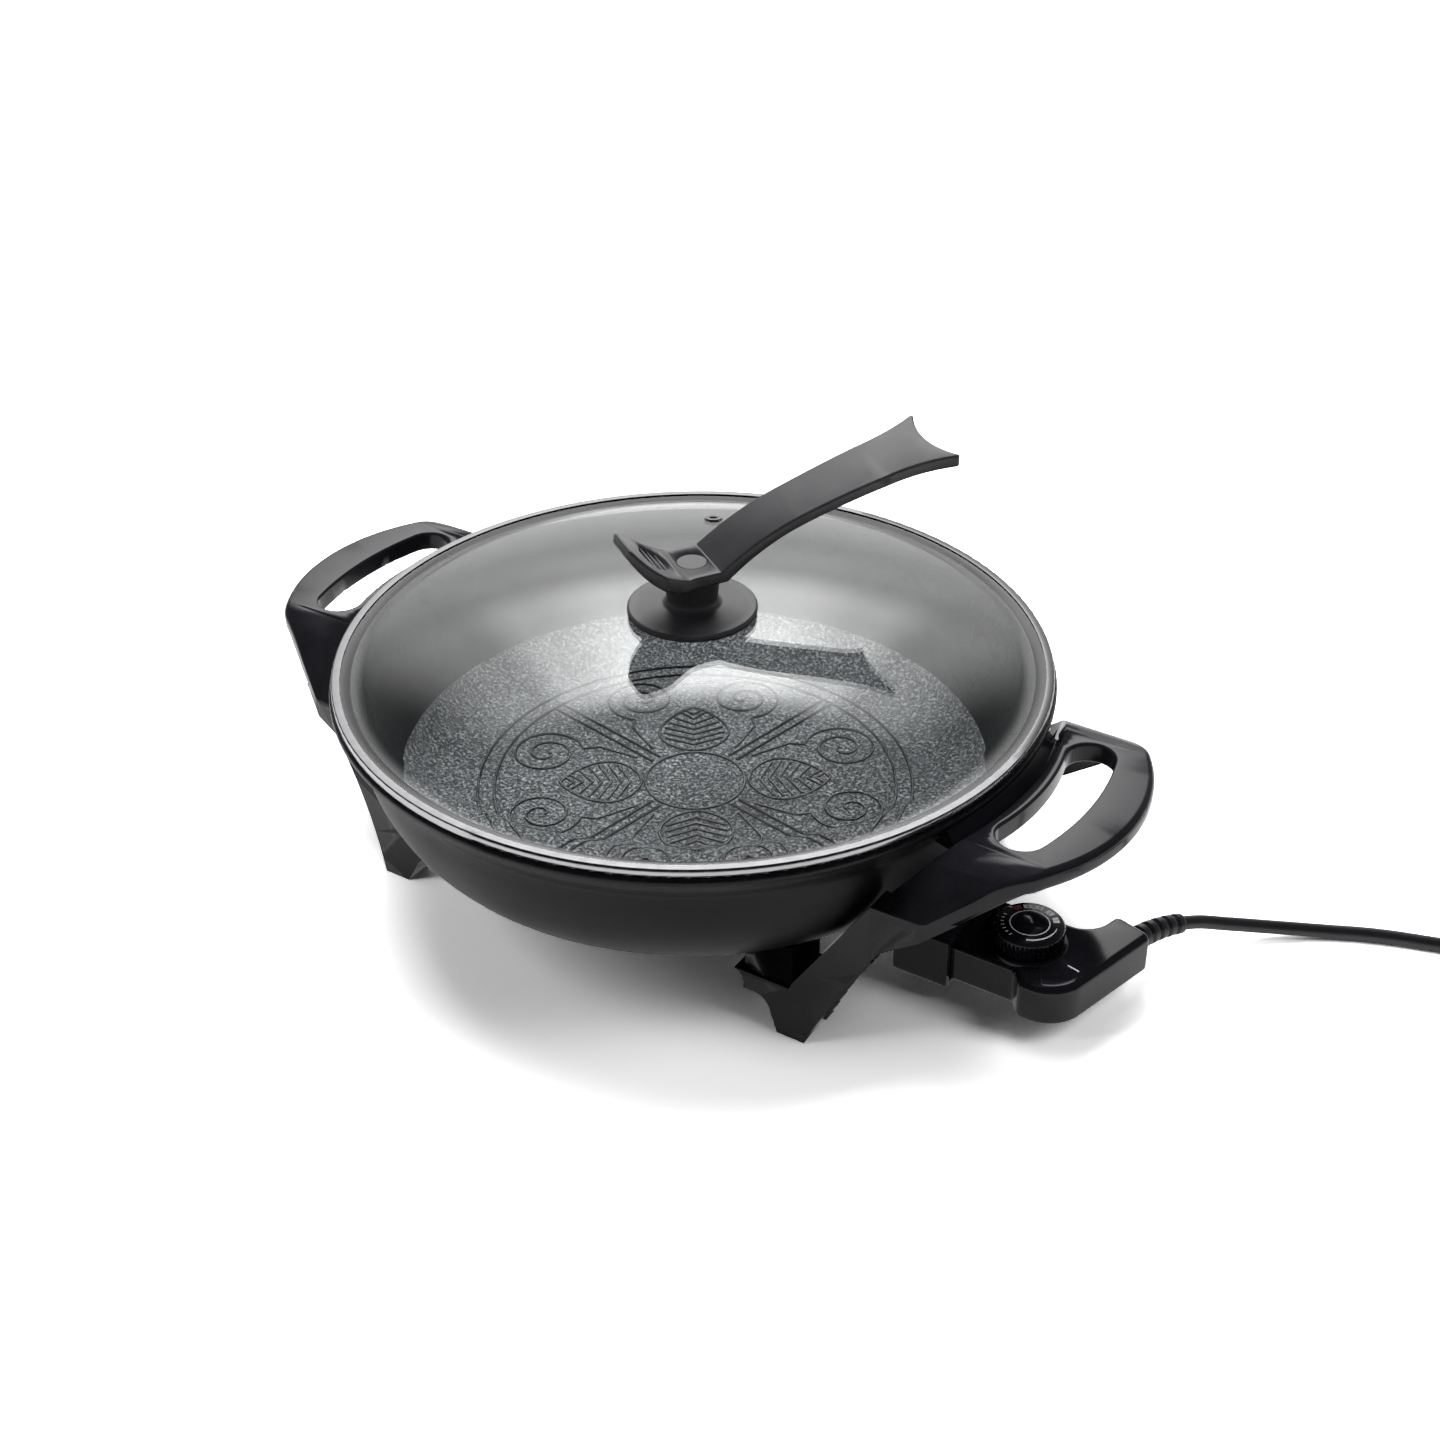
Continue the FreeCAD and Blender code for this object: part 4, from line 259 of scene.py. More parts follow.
class Shader:

    def __init__(self, name):
        self.material = bpy.data.materials.new(name)
        self.material.use_nodes = True
        self.tree = self.material.node_tree
        self.main = self.tree.nodes["Principled BSDF"]
        self.place = self.tree.nodes.new("ShaderNodeTexCoord").outputs["Object"]

    def add(self, kind, **values):
        node = self.tree.nodes.new(kind)
        for key, value in values.items():
            if hasattr(node, key):
                setattr(node, key, value)
            else:
                node.inputs[key.replace("_", " ")].default_value = value
        return node

    def join(self, source, target):
        self.tree.links.new(source, target)

    def set(self, **values):
        for key, value in values.items():
            self.main.inputs[key.replace("_", " ")].default_value = value

    def noise(self, scale, detail=2.0):
        node = self.add("ShaderNodeTexNoise", Scale=scale, Detail=detail)
        self.join(self.place, node.inputs["Vector"])
        return node.outputs["Fac"]

    def remap(self, value, low, high, newLow, newHigh):
        node = self.add("ShaderNodeMapRange", clamp=True)
        for key, number in zip(("From Min", "From Max", "To Min", "To Max"),
                               (low, high, newLow, newHigh)):
            node.inputs[key].default_value = number
        self.join(value, node.inputs["Value"])
        return node.outputs["Result"]

    def math(self, operation, first, second=None):
        node = self.add("ShaderNodeMath", operation=operation)
        for socket, value in zip(node.inputs, (first, second)):
            if value is None:
                continue
            if isinstance(value, (int, float)):
                socket.default_value = value
            else:
                self.join(value, socket)
        return node.outputs[0]

    def mixColour(self, factor, first, second):
        node = self.add("ShaderNodeMix", data_type="RGBA")
        self.join(factor, node.inputs[0])
        for socket, value in ((node.inputs[6], first), (node.inputs[7], second)):
            if isinstance(value, tuple):
                socket.default_value = (*value, 1)
            else:
                self.join(value, socket)
        return node.outputs[2]

    def bump(self, height, distance):
        node = self.add("ShaderNodeBump", Strength=1.0, Distance=distance)
        self.join(height, node.inputs["Height"])
        self.join(node.outputs["Normal"], self.main.inputs["Normal"])

    def radiusFromAxis(self):
        parts = self.add("ShaderNodeSeparateXYZ")
        self.join(self.place, parts.inputs[0])
        squares = [self.math("POWER", parts.outputs[axis], 2.0) for axis in (0, 1)]
        return self.math("SQRT", self.math("ADD", *squares))

    def facingUp(self):
        parts = self.add("ShaderNodeSeparateXYZ")
        self.join(self.tree.nodes["Texture Coordinate"].outputs["Normal"], parts.inputs[0])
        return parts.outputs[2]

    def patina(self, look):
        node = self.add("ShaderNodeGroup", node_tree=patinaGroup)
        self.join(self.place, node.inputs["Vector"])
        for key, value in look.items():
            colour = (*value, 1) if isinstance(value, tuple) else value
            node.inputs[key].default_value = colour
        return node.outputs


def toned(colour, share):
    return tuple(part * share for part in colour)


def phenolic(name, colour, low, high, grain, grainDepth, gloss=0.5):
    shader = Shader(name)
    shader.set(IOR=1.5, Specular_IOR_Level=gloss)
    look = shader.patina({"Cloud Scale": 24.0, "Cloud Detail": 3.0,
                          "Smoothest": low, "Roughest": high,
                          "Tone Scale": 60.0, "Tone Low": 0.3, "Tone High": 0.7,
                          "First Tone": colour, "Second Tone": toned(colour, 1.5),
                          "Grain Scale": grain})
    shader.join(look["Roughness"], shader.main.inputs["Roughness"])
    shader.join(look["Tone"], shader.main.inputs["Base Color"])
    shader.bump(look["Grain"], grainDepth)
    return shader.material


def metal(name, colour, low, high, ringScale=0.0, paintedTopShade=1.0):
    shader = Shader(name)
    shader.set(Metallic=1.0)
    look = shader.patina({"Cloud Scale": 180.0, "Cloud Detail": 4.0,
                          "Smoothest": low, "Roughest": high,
                          "Tone Scale": 30.0, "Tone Low": 0.0, "Tone High": 1.0,
                          "First Tone": colour, "Second Tone": toned(colour, 0.85),
                          "Grain Scale": 1400.0})
    shader.join(look["Roughness"], shader.main.inputs["Roughness"])
    shade = look["Tone"]
    if paintedTopShade < 1.0:  # painted shade: the base colour is darker on what faces up, to dim its reflection
        upward = shader.remap(shader.facingUp(), 0.30, 0.60, 0.0, 1.0)
        shade = shader.mixColour(upward, shade, toned(colour, paintedTopShade))
    shader.join(shade, shader.main.inputs["Base Color"])
    if ringScale:  # lines left by the lathe
        turned = shader.math("MULTIPLY", shader.radiusFromAxis(), ringScale)
        shader.bump(shader.math("SINE", turned), 0.000004)
    else:
        shader.bump(look["Grain"], 0.000006)
    return shader.material


def plain(name, colour, roughness, grain=900.0, depth=0.00002):
    shader = Shader(name)
    shader.set(Roughness=roughness)
    look = shader.patina({"Tone Scale": 120.0, "Tone Low": 0.0, "Tone High": 1.0,
                          "First Tone": colour, "Second Tone": toned(colour, 0.8),
                          "Grain Scale": grain})
    shader.join(look["Tone"], shader.main.inputs["Base Color"])
    shader.bump(look["Grain"], depth)
    return shader.material


bracketBlack = phenolic("bracketBlack", (0.008, 0.008, 0.010), 0.14, 0.20, 1500.0, 0.000012, 0.22)
caseBlack = phenolic("caseBlack", (0.006, 0.006, 0.008), 0.08, 0.12, 1200.0, 0.000008, 0.28)
gripBlack = phenolic("gripBlack", (0.015, 0.015, 0.017), 0.36, 0.46, 2600.0, 0.00006, 0.7)
# rimSteel's last number is a painted shade that darkens its up-facing faces
rimSteel = metal("rimSteel", (0.40, 0.40, 0.41), 0.20, 0.28, 9000.0, 0.40)
screwSteel = metal("screwSteel", (0.62, 0.62, 0.61), 0.22, 0.32)
sheathSteel = metal("sheathSteel", (0.28, 0.27, 0.25), 0.40, 0.55)
castMetal = metal("castMetal", (0.55, 0.55, 0.56), 0.45, 0.60)
contactBrass = metal("contactBrass", (0.74, 0.56, 0.26), 0.25, 0.35)
pinNickel = metal("pinNickel", (0.78, 0.78, 0.76), 0.12, 0.20)
ceramicWhite = plain("ceramicWhite", (0.82, 0.81, 0.77), 0.55)
switchBeige = plain("switchBeige", (0.70, 0.64, 0.50), 0.50)
siliconeGrey = plain("siliconeGrey", (0.42, 0.42, 0.42), 0.60)
cordRubber = plain("cordRubber", (0.012, 0.012, 0.014), 0.42, 1800.0, 0.00003)
markWhite = plain("markWhite", (0.78, 0.78, 0.78), 0.50)
markRed = plain("markRed", (0.20, 0.012, 0.015), 0.45)
markBlack = plain("markBlack", (0.012, 0.012, 0.014), 0.50)
lampRed = plain("lampRed", (0.16, 0.012, 0.008), 0.12)


def makeGlass():
    shader = Shader("lidGlass")
    shader.set(IOR=1.5, Roughness=0.0, Transmission_Weight=1.0)
    smudge = shader.remap(shader.noise(18.0), 0.45, 0.75, 0.0, 1.0)
    shade = shader.mixColour(smudge, (0.955, 0.972, 0.972), (0.945, 0.965, 0.967))
    shader.join(shade, shader.main.inputs["Base Color"])
    path = shader.add("ShaderNodeLightPath")
    clear = shader.add("ShaderNodeBsdfTransparent")
    clear.inputs["Color"].default_value = (0.90, 0.915, 0.915, 1)
    passing = shader.math("MAXIMUM", path.outputs["Is Shadow Ray"], path.outputs["Is Diffuse Ray"])
    mix = shader.add("ShaderNodeMixShader")
    shader.join(passing, mix.inputs[0])
    shader.join(shader.main.outputs[0], mix.inputs[1])
    shader.join(clear.outputs[0], mix.inputs[2])
    shader.join(mix.outputs[0], shader.tree.nodes["Material Output"].inputs["Surface"])
    return shader.material


lidGlass = makeGlass()
print("materials made")


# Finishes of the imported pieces

finishes = {
    "handle_bracket_right": bracketBlack, "handle_bracket_left": bracketBlack,
    "socket_shroud": bracketBlack, "case_lower": caseBlack, "case_upper": caseBlack,
    "dial": caseBlack, "knob": gripBlack, "lid_handle": gripBlack, "lid_handle_cap": gripBlack,
    "lid_band": rimSteel, "steam_vent": rimSteel, "knob_bolt": screwSteel,
    "lid_handle_screw": screwSteel, "heating_element": sheathSteel, "probe_guide": castMetal,
    "terminal_pin_front": screwSteel, "terminal_pin_rear": screwSteel,
    "terminal_plate": screwSteel, "terminal_insulator_front": ceramicWhite,
    "terminal_insulator_rear": ceramicWhite, "knob_washer": siliconeGrey,
    "lid_seal_washer": siliconeGrey, "thermostat": switchBeige,
    "terminal_socket_front": contactBrass, "terminal_socket_rear": contactBrass,
    "thermostat_probe": screwSteel, "dial_shaft": screwSteel, "pilot_lamp": lampRed,
    "strain_relief": cordRubber, "plug": cordRubber, "plug_pin_left": pinNickel,
    "plug_pin_right": pinNickel}

for name in nodes:
    if "screw" in name and name not in finishes:
        finishes[name] = screwSteel


def makeFinishes():
    pieces = {}
    for name, material in sorted(finishes.items()):
        pieces[name] = smoothCopy(name, material)
    return pieces


finished = makeFinishes()
print(len(finished), "packed pieces finished")


# Mains cord, its coil and plug

cordSizes = {"radius": 0.0035, "coilCentre": (0.4214, 0.1035), "outerTurn": 0.0422,
             "innerTurn": 0.0351, "entry": 110.0, "exit": -20.0, "turns": 3, "steps": 24,
             "shift": 50.0, "inwardFrom": 310.0, "outwardFrom": 1010.0, "raisedFrom": 630.0,
             "lowLayer": 0.0035, "highLayer": 0.0105}

runToCoil = ((0.25013, 0.05389, 0.01938), (0.25528, 0.06220, 0.01730), (0.26379, 0.0720, 0.0130),
             (0.2735, 0.08171, 0.0095), (0.2857, 0.09169, 0.00651), (0.30469, 0.10469, 0.0036),
             (0.3310, 0.11751, 0.0035), (0.36287, 0.1269, 0.0035))
runToPlug = ((0.45197, 0.06471, 0.0105), (0.44513, 0.04592, 0.0105), (0.44513, 0.02606, 0.01285))


def blendStep(turned, start):
    share = min(max((turned - start) / cordSizes["shift"], 0.0), 1.0)
    return share * share * (3 - 2 * share)


def coilPoints():
    total = cordSizes["entry"] - cordSizes["exit"] + 360.0 * cordSizes["turns"]
    count = round(total / 360.0 * cordSizes["steps"])
    points = []
    for index in range(count + 1):
        turned = total * index / count
        inward = (blendStep(turned, cordSizes["inwardFrom"])
                  - blendStep(turned, cordSizes["outwardFrom"]))
        raised = blendStep(turned, cordSizes["raisedFrom"])
        narrower = cordSizes["innerTurn"] - cordSizes["outerTurn"]
        higher = cordSizes["highLayer"] - cordSizes["lowLayer"]
        radius = cordSizes["outerTurn"] + narrower * inward
        height = cordSizes["lowLayer"] + higher * raised
        bearing = math.radians(cordSizes["entry"] - turned)
        points.append((cordSizes["coilCentre"][0] + radius * math.cos(bearing),
                       cordSizes["coilCentre"][1] + radius * math.sin(bearing), height))
    return points


def routeCurve(name, points):
    data = bpy.data.curves.new(name, "CURVE")
    data.dimensions = "3D"
    spline = data.splines.new("NURBS")
    spline.points.add(len(points) - 1)
    for target, point in zip(spline.points, points):
        target.co = (*point, 1)
    spline.order_u = 3
    spline.use_endpoint_u = True
    data.resolution_u = 6
    piece = bpy.data.objects.new(name, data)
    scene.collection.objects.link(piece)
    return piece


def splineLength(piece):
    mesh = bpy.data.meshes.new_from_object(piece)
    points = [vertex.co for vertex in mesh.vertices]
    return sum((b - a).length for a, b in zip(points, points[1:]))


def makeCord():
    points = list(runToCoil) + coilPoints() + list(runToPlug)
    piece = routeCurve("mainsCord", points)
    length = splineLength(piece)
    print("cord length", round(length, 4))
    piece.data.bevel_depth = cordSizes["radius"]
    piece.data.bevel_resolution = 6
    piece.data.materials.append(cordRubber)
    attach(piece, "controller")
    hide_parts("cord", "cord_coil", "cord_tail")


makeCord()
print("cord made")


# Pan

# the crinkle's groove colour is a painted shade, and its light fleck colour is a painted highlight
# (glints)
panLook = {"crinkleEdge": 0.150, "mouth": 0.1735, "inside": (0.162, 0.166, 0.172),
           "valley": (0.052, 0.053, 0.057), "crest": (0.40, 0.41, 0.42),
           "wall": (0.006, 0.007, 0.008), "outside": (0.004, 0.004, 0.005),
           "edgeFade": 0.0006, "wormScale": 400.0, "wormWidth": 0.11, "crestScale": 610.0,
           "crestFrom": 0.52, "crestTo": 0.66, "relief": 0.0006, "smoothest": 0.26,
           "roughest": 0.34, "outsideRougher": 0.12, "insideSmoother": -0.14, "gloss": 0.16,
           "smoothAngle": 40}


def makePanMaterial():
    shader = Shader("panCoating")
    radius = shader.radiusFromAxis()
    upward = shader.math("GREATER_THAN", shader.facingUp(), 0.04)
    within = shader.math("LESS_THAN", radius, panLook["mouth"])
    inside = shader.math("MULTIPLY", upward, within)
    textured = shader.math("MULTIPLY", inside,
                           shader.remap(radius, panLook["crinkleEdge"],
                                        panLook["crinkleEdge"] + panLook["edgeFade"], 1.0, 0.0))
    wall = shader.mixColour(inside, panLook["outside"], panLook["wall"])
    waves = shader.noise(panLook["wormScale"], 1.5)
    worms = shader.math("ABSOLUTE", shader.math("SUBTRACT", waves, 0.5))
    ridges = shader.remap(worms, 0.0, panLook["wormWidth"], 0.0, 1.0)
    # painted highlight: random flecks are coloured light as glints on the crinkle
    crests = shader.remap(shader.noise(panLook["crestScale"]), panLook["crestFrom"],
                          panLook["crestTo"], 0.0, 1.0)
    # painted shade: the crinkle's grooves are coloured darker than its ridges
    grey = shader.mixColour(ridges, panLook["valley"], panLook["inside"])
    grey = shader.mixColour(crests, grey, panLook["crest"])
    shader.join(shader.mixColour(textured, wall, grey), shader.main.inputs["Base Color"])
    satin = shader.remap(shader.noise(30.0), 0.3, 0.7, panLook["smoothest"], panLook["roughest"])
    rough = shader.math("ADD", shader.math("MULTIPLY", inside, panLook["insideSmoother"]),
                        panLook["outsideRougher"])
    shader.join(shader.math("ADD", satin, rough), shader.main.inputs["Roughness"])
    shader.bump(shader.math("MULTIPLY", ridges, textured), panLook["relief"])
    shader.set(Specular_IOR_Level=panLook["gloss"])
    return shader.material


smoothCopy("pan", makePanMaterial(), panLook["smoothAngle"])
print("pan finished")


# Ornament on the cooking floor, from rings, bands, leaves and volutes

ornament = {"level": 0.04393, "line": 0.00088, "lineSides": 6, "outerRing": 0.1125,
            "innerRing": 0.1040, "middleRing": 0.0258, "ringSteps": 180,
            "quarters": 4, "bandTurn": -11.0, "bandStart": 0.0285, "bandEnd": 0.1030,
            "bandHalf": 0.0028, "leafStart": 0.0275, "leafEnd": 0.070, "leafHalf": 0.0185,
            "veins": 7, "voluteDistance": 0.0830, "voluteSpread": 19.5,
            "voluteRadius": 0.0190, "voluteTurns": 2.0, "voluteEye": 0.0012, "voluteLead": 150.0,
            "voluteSteps": 70, "stemStart": 0.037, "stemStartTurn": 36.0, "stemMiddle": 0.060,
            "stemMiddleTurn": 33.0, "leafSteps": 28, "veinRoom": 1.2, "veinSlant": 0.16,
            "veinLimit": 0.93, "veinShare": 0.86}


def polarPoint(radius, degrees):
    bearing = math.radians(degrees)
    return Vector((radius * math.cos(bearing), radius * math.sin(bearing), ornament["level"]))


def bandLines(turn):
    along = polarPoint(1.0, turn) - Vector((0, 0, ornament["level"]))
    across = Vector((-along.y, along.x, 0))
    lift = Vector((0, 0, ornament["level"]))
    lines = []
    for side in (-1, 1):
        offset = across * ornament["bandHalf"] * side + lift
        lines.append([along * ornament["bandStart"] + offset,
                      along * ornament["bandEnd"] + offset])
    return lines


def leafWidth(share):
    return ornament["leafHalf"] * math.sin(math.pi * share ** 0.8) ** 0.75


def leafPoint(turn, share, side):
    along = polarPoint(1.0, turn) - Vector((0, 0, ornament["level"]))
    across = Vector((-along.y, along.x, 0))
    reach = ornament["leafStart"] + (ornament["leafEnd"] - ornament["leafStart"]) * share
    return along * reach + across * side * leafWidth(share) + Vector((0, 0, ornament["level"]))


def leafLines(turn):
    steps = ornament["leafSteps"]
    lines = [[leafPoint(turn, i / steps, side) for i in range(steps + 1)] for side in (-1, 1)]
    for vein in range(ornament["veins"]):
        share = (vein + ornament["veinRoom"]) / (ornament["veins"] + ornament["veinRoom"] + 0.4)
        outer = min(share + ornament["veinSlant"], ornament["veinLimit"])
        tips = [leafPoint(turn, outer, side * ornament["veinShare"]) for side in (-1, 1)]
        lines.append([tips[0], leafPoint(turn, share, 0), tips[1]])
    return lines


def voluteLine(turn, side):
    centre = polarPoint(ornament["voluteDistance"], turn + side * ornament["voluteSpread"])
    outward = math.radians(turn + side * (ornament["voluteSpread"] + ornament["voluteLead"]))
    spiral = []
    for i in range(ornament["voluteSteps"] + 1):
        share = i / ornament["voluteSteps"]
        radius = ornament["voluteRadius"] * (1.0 - share) ** 0.8 + ornament["voluteEye"]
        angle = outward - side * share * ornament["voluteTurns"] * 2 * math.pi
        spiral.append(centre + Vector((radius * math.cos(angle), radius * math.sin(angle), 0)))
    stem = polarPoint(ornament["stemStart"], turn + side * ornament["stemStartTurn"])
    middle = polarPoint(ornament["stemMiddle"], turn + side * ornament["stemMiddleTurn"])
    return [stem, middle] + spiral


def buildOrnamentTree():  # a quarter's lines, copied round the axis, with rings, as tubes
    forms = Forms("ornamentRound", (("Copies", "Int"), ("Line", "Float"), ("Sides", "Int"),
                                    ("Level", "Float"), ("Outer Ring", "Float"),
                                    ("Inner Ring", "Float"), ("Middle Ring", "Float"),
                                    ("Ring Steps", "Int")))
    given, add = forms.given, forms.add
    quarter = add("GeometryNodeMeshToCurve", {"Mesh": given["Geometry"]})
    spots = add("GeometryNodeMeshLine", {"Count": given["Copies"], "Offset": (0, 0, 0)})
    step = add("ShaderNodeMath", {0: 2 * math.pi, 1: given["Copies"]}, operation="DIVIDE")
    turn = add("ShaderNodeMath", {0: add("GeometryNodeInputIndex", {}), 1: step},
               operation="MULTIPLY")
    spin = add("ShaderNodeCombineXYZ", {"Z": turn})
    copies = add("GeometryNodeInstanceOnPoints",
                 {"Points": spots, "Instance": quarter, "Rotation": spin})
    rings = [add("GeometryNodeCurvePrimitiveCircle",
                 {"Resolution": given["Ring Steps"], "Radius": given[label]})
             for label in ("Outer Ring", "Inner Ring", "Middle Ring")]
    lift = add("ShaderNodeCombineXYZ", {"Z": given["Level"]})
    raised = add("GeometryNodeTransform",
                 {"Geometry": add("GeometryNodeJoinGeometry", {"Geometry": rings}),
                  "Translation": lift})
    lines = add("GeometryNodeJoinGeometry",
                {"Geometry": [add("GeometryNodeRealizeInstances", {"Geometry": copies}), raised]})
    profile = add("GeometryNodeCurvePrimitiveCircle",
                  {"Resolution": given["Sides"], "Radius": given["Line"]})
    return forms.finish(add("GeometryNodeCurveToMesh", {"Curve": lines, "Profile Curve": profile,
                                                        "Fill Caps": True}))


def makeOrnamentMaterial():
    shader = Shader("ornamentCoating")
    shader.set(Roughness=0.34)
    look = shader.patina({"Tone Scale": 300.0, "Tone Low": 0.0, "Tone High": 1.0,
                          "First Tone": (0.003, 0.003, 0.003),
                          "Second Tone": (0.008, 0.008, 0.009), "Grain Scale": 700.0})
    shader.join(look["Tone"], shader.main.inputs["Base Color"])
    shader.bump(look["Grain"], 0.0001)
    return shader.material


def makeOrnament():
    lines = bandLines(ornament["bandTurn"])
    middle = ornament["bandTurn"] + 45.0
    lines += leafLines(middle) + [voluteLine(middle, side) for side in (-1, 1)]
    piece = growFromLines("floorOrnament", lineMesh("floorOrnament", lines), buildOrnamentTree(), {
        "Copies": ornament["quarters"], "Line": ornament["line"], "Sides": ornament["lineSides"],
        "Level": ornament["level"], "Outer Ring": ornament["outerRing"],
        "Inner Ring": ornament["innerRing"], "Middle Ring": ornament["middleRing"],
        "Ring Steps": ornament["ringSteps"], "Finish": makeOrnamentMaterial()}, 60)
    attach(piece, "base")


makeOrnament()
print("floor ornament made")


# Lid glass

dome = {"brimRadius": 0.1698, "rise": 0.0266, "thickness": 0.0035, "edge": 0.1794,
        "hole": 0.0042, "segments": 192, "rings": 26, "path": 0.1}


def domeHeight(radius):
    sphere = (dome["brimRadius"] ** 2 + dome["rise"] ** 2) / (2 * dome["rise"])
    return math.sqrt(sphere ** 2 - radius ** 2) - (sphere - dome["rise"])


def buildLatheTree():  # a closed outline swept round the axis
    forms = Forms("latheRound", (("Segments", "Int"), ("Path Radius", "Float")))
    given, add = forms.given, forms.add
    outline = add("GeometryNodeMeshToCurve", {"Mesh": given["Geometry"]})
    path = add("GeometryNodeCurvePrimitiveCircle",
               {"Resolution": given["Segments"], "Radius": given["Path Radius"]})
    level = add("GeometryNodeSetCurveNormal", {"Curve": path}, mode="Z_UP")
    return forms.finish(add("GeometryNodeCurveToMesh",
                            {"Curve": level, "Profile Curve": outline}))


def makeDome():
    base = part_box("lid_glass")[0].z
    radii = [dome["hole"] + (dome["brimRadius"] - dome["hole"]) * i / dome["rings"]
             for i in range(dome["rings"] + 1)]
    lower = [(radius, base + domeHeight(radius)) for radius in radii] + [(dome["edge"], base)]
    upper = [(radius, height + dome["thickness"]) for radius, height in reversed(lower)]
    outline = [(radius - dome["path"], -height, 0.0) for radius, height in reversed(lower + upper)]
    mesh = lineMesh("glassDome", [outline], closed=True)
    piece = growFromLines("glassDome", mesh, buildLatheTree(), {
        "Segments": dome["segments"], "Path Radius": dome["path"], "Finish": lidGlass}, 30)
    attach(piece, "lid")
    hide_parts("lid_glass")


makeDome()
print("glass dome made")


# Marks on the dial and the case

marks = {"centre": (0.2002, -0.0165), "lift": 0.00005, "ringRadius": 0.0094, "ringHalf": 0.0003,
         "blockRadius": 0.0127, "blockSize": (0.0040, 0.0030), "redTurn": 144.0,
         "blockTurns": (120.0, 95.0, 68.0, 41.0), "digits": "5432", "digitSize": 0.0026,
         "arcRadius": 0.0130, "arcFrom": 12.0, "arcTo": -72.0, "arcThin": 0.00015,
         "arcThick": 0.0007, "tickHalfTurn": 1.4, "caseStep": 0.0014,
         "tickTurns": tuple(range(-180, -100, 12)), "tickInner": 0.0122, "tickOuter": 0.0138,
         "dashTurn": -12.5, "dashInner": 0.0236, "dashOuter": 0.0302, "dashHalf": 0.00035}


def onDial(radius, degrees, level):
    bearing = math.radians(degrees)
    return Vector((marks["centre"][0] + radius * math.cos(bearing),
                   marks["centre"][1] + radius * math.sin(bearing), level))


def flatStrip(name, inner, outer, material, body):
    work = bmesh.new()
    low = [work.verts.new(point) for point in inner]
    high = [work.verts.new(point) for point in outer]
    for i in range(len(low) - 1):
        work.faces.new((low[i], high[i], high[i + 1], low[i + 1]))
    for face in work.faces:
        face.normal_update()
        if face.normal.z < 0:
            face.normal_flip()
    mesh = bpy.data.meshes.new(name)
    work.to_mesh(mesh)
    work.free()
    piece = linkMesh(name, mesh)
    giveMaterial(piece, material)
    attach(piece, body)
    return piece


def arcStrip(name, radius, start, end, halfStart, halfEnd, level, material):
    steps = max(12, int(abs(end - start) / 3))
    inner, outer = [], []
    for i in range(steps + 1):
        share = i / steps
        turn = start + (end - start) * share
        half = halfStart + (halfEnd - halfStart) * share
        inner.append(onDial(radius - half, turn, level))
        outer.append(onDial(radius + half, turn, level))
    return flatStrip(name, inner, outer, material, "dial")


def makeMarks():
    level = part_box("dial")[1].z + marks["lift"]
    arcStrip("dialRing", marks["ringRadius"], 0, 360, marks["ringHalf"], marks["ringHalf"],
             level, markWhite)
    arcStrip("dialArc", marks["arcRadius"], marks["arcFrom"], marks["arcTo"],
             marks["arcThin"], marks["arcThick"], level, markWhite)
    half = marks["blockSize"][1] / 2
    spread = math.degrees(marks["blockSize"][0] / 2 / marks["blockRadius"])
    arcStrip("dialRedBlock", marks["blockRadius"], marks["redTurn"] - spread,
             marks["redTurn"] + spread, half, half, level, markRed)
    for turn, digit in zip(marks["blockTurns"], marks["digits"]):
        arcStrip("dialBlock" + digit, marks["blockRadius"], turn - spread, turn + spread,
                 half, half, level, markWhite)
        makeDigit(digit, turn, level + marks["lift"])
    for number, turn in enumerate(marks["tickTurns"]):
        middle = (marks["tickInner"] + marks["tickOuter"]) / 2
        reach = (marks["tickOuter"] - marks["tickInner"]) / 2
        arcStrip(f"dialTick{number}", middle, turn - marks["tickHalfTurn"],
                 turn + marks["tickHalfTurn"], reach, reach, level, markWhite)
    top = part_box("case_upper")[1].z - marks["caseStep"] + marks["lift"]
    ends = []
    for side in (-1, 1):
        spread = math.degrees(marks["dashHalf"] / marks["dashInner"]) * side
        ends.append([onDial(marks["dashInner"], marks["dashTurn"] + spread, top),
                     onDial(marks["dashOuter"], marks["dashTurn"] + spread, top)])
    flatStrip("caseDash", ends[0], ends[1], markWhite, "controller")


def makeDigit(digit, turn, level):
    data = bpy.data.curves.new("dialDigit" + digit, "FONT")
    data.body = digit
    data.size = marks["digitSize"]
    data.align_x = "CENTER"
    data.align_y = "CENTER"
    piece = bpy.data.objects.new("dialDigit" + digit, data)
    scene.collection.objects.link(piece)
    piece.matrix_world = (Matrix.Translation(onDial(marks["blockRadius"], turn, level))
                          @ Matrix.Rotation(math.radians(turn - 90.0), 4, "Z"))
    piece = curveToMesh(piece)
    giveMaterial(piece, markBlack)
    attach(piece, "dial")


makeMarks()
print("marks made")


# Floor, backdrop and light

studio = {"floorSize": 6.0, "floorColour": (0.80, 0.80, 0.805),
          "seenColour": (2.0, 2.0, 2.02), "glow": 0.36,
          "target": (0.0, 0.0, 0.08), "cardPower": 6.2,
          "cardHeights": ((0.15, 0.0), (0.30, 0.08), (0.45, 0.42), (0.60, 0.78), (0.69, 1.0),
                          (0.765, 0.0)),
          "cardSides": ((0.12, 1.0), (0.26, 0.58), (0.36, 0.20), (0.60, 0.0)),
          "surround": ((0.0, 0.95), (0.45, 0.80), (0.62, 0.42), (0.78, 0.18), (1.0, 0.32)),
          "roomSides": ((0.40, 1.0), (0.62, 0.28)), "frontShare": 0.25, "frontRamp": (0.30, 0.90),
          "glowFrom": 0.6, "glowTo": 1.4, "farGlow": 0.75, "farFrom": 1.1, "farTo": 1.9,
          "farSeen": 0.8}

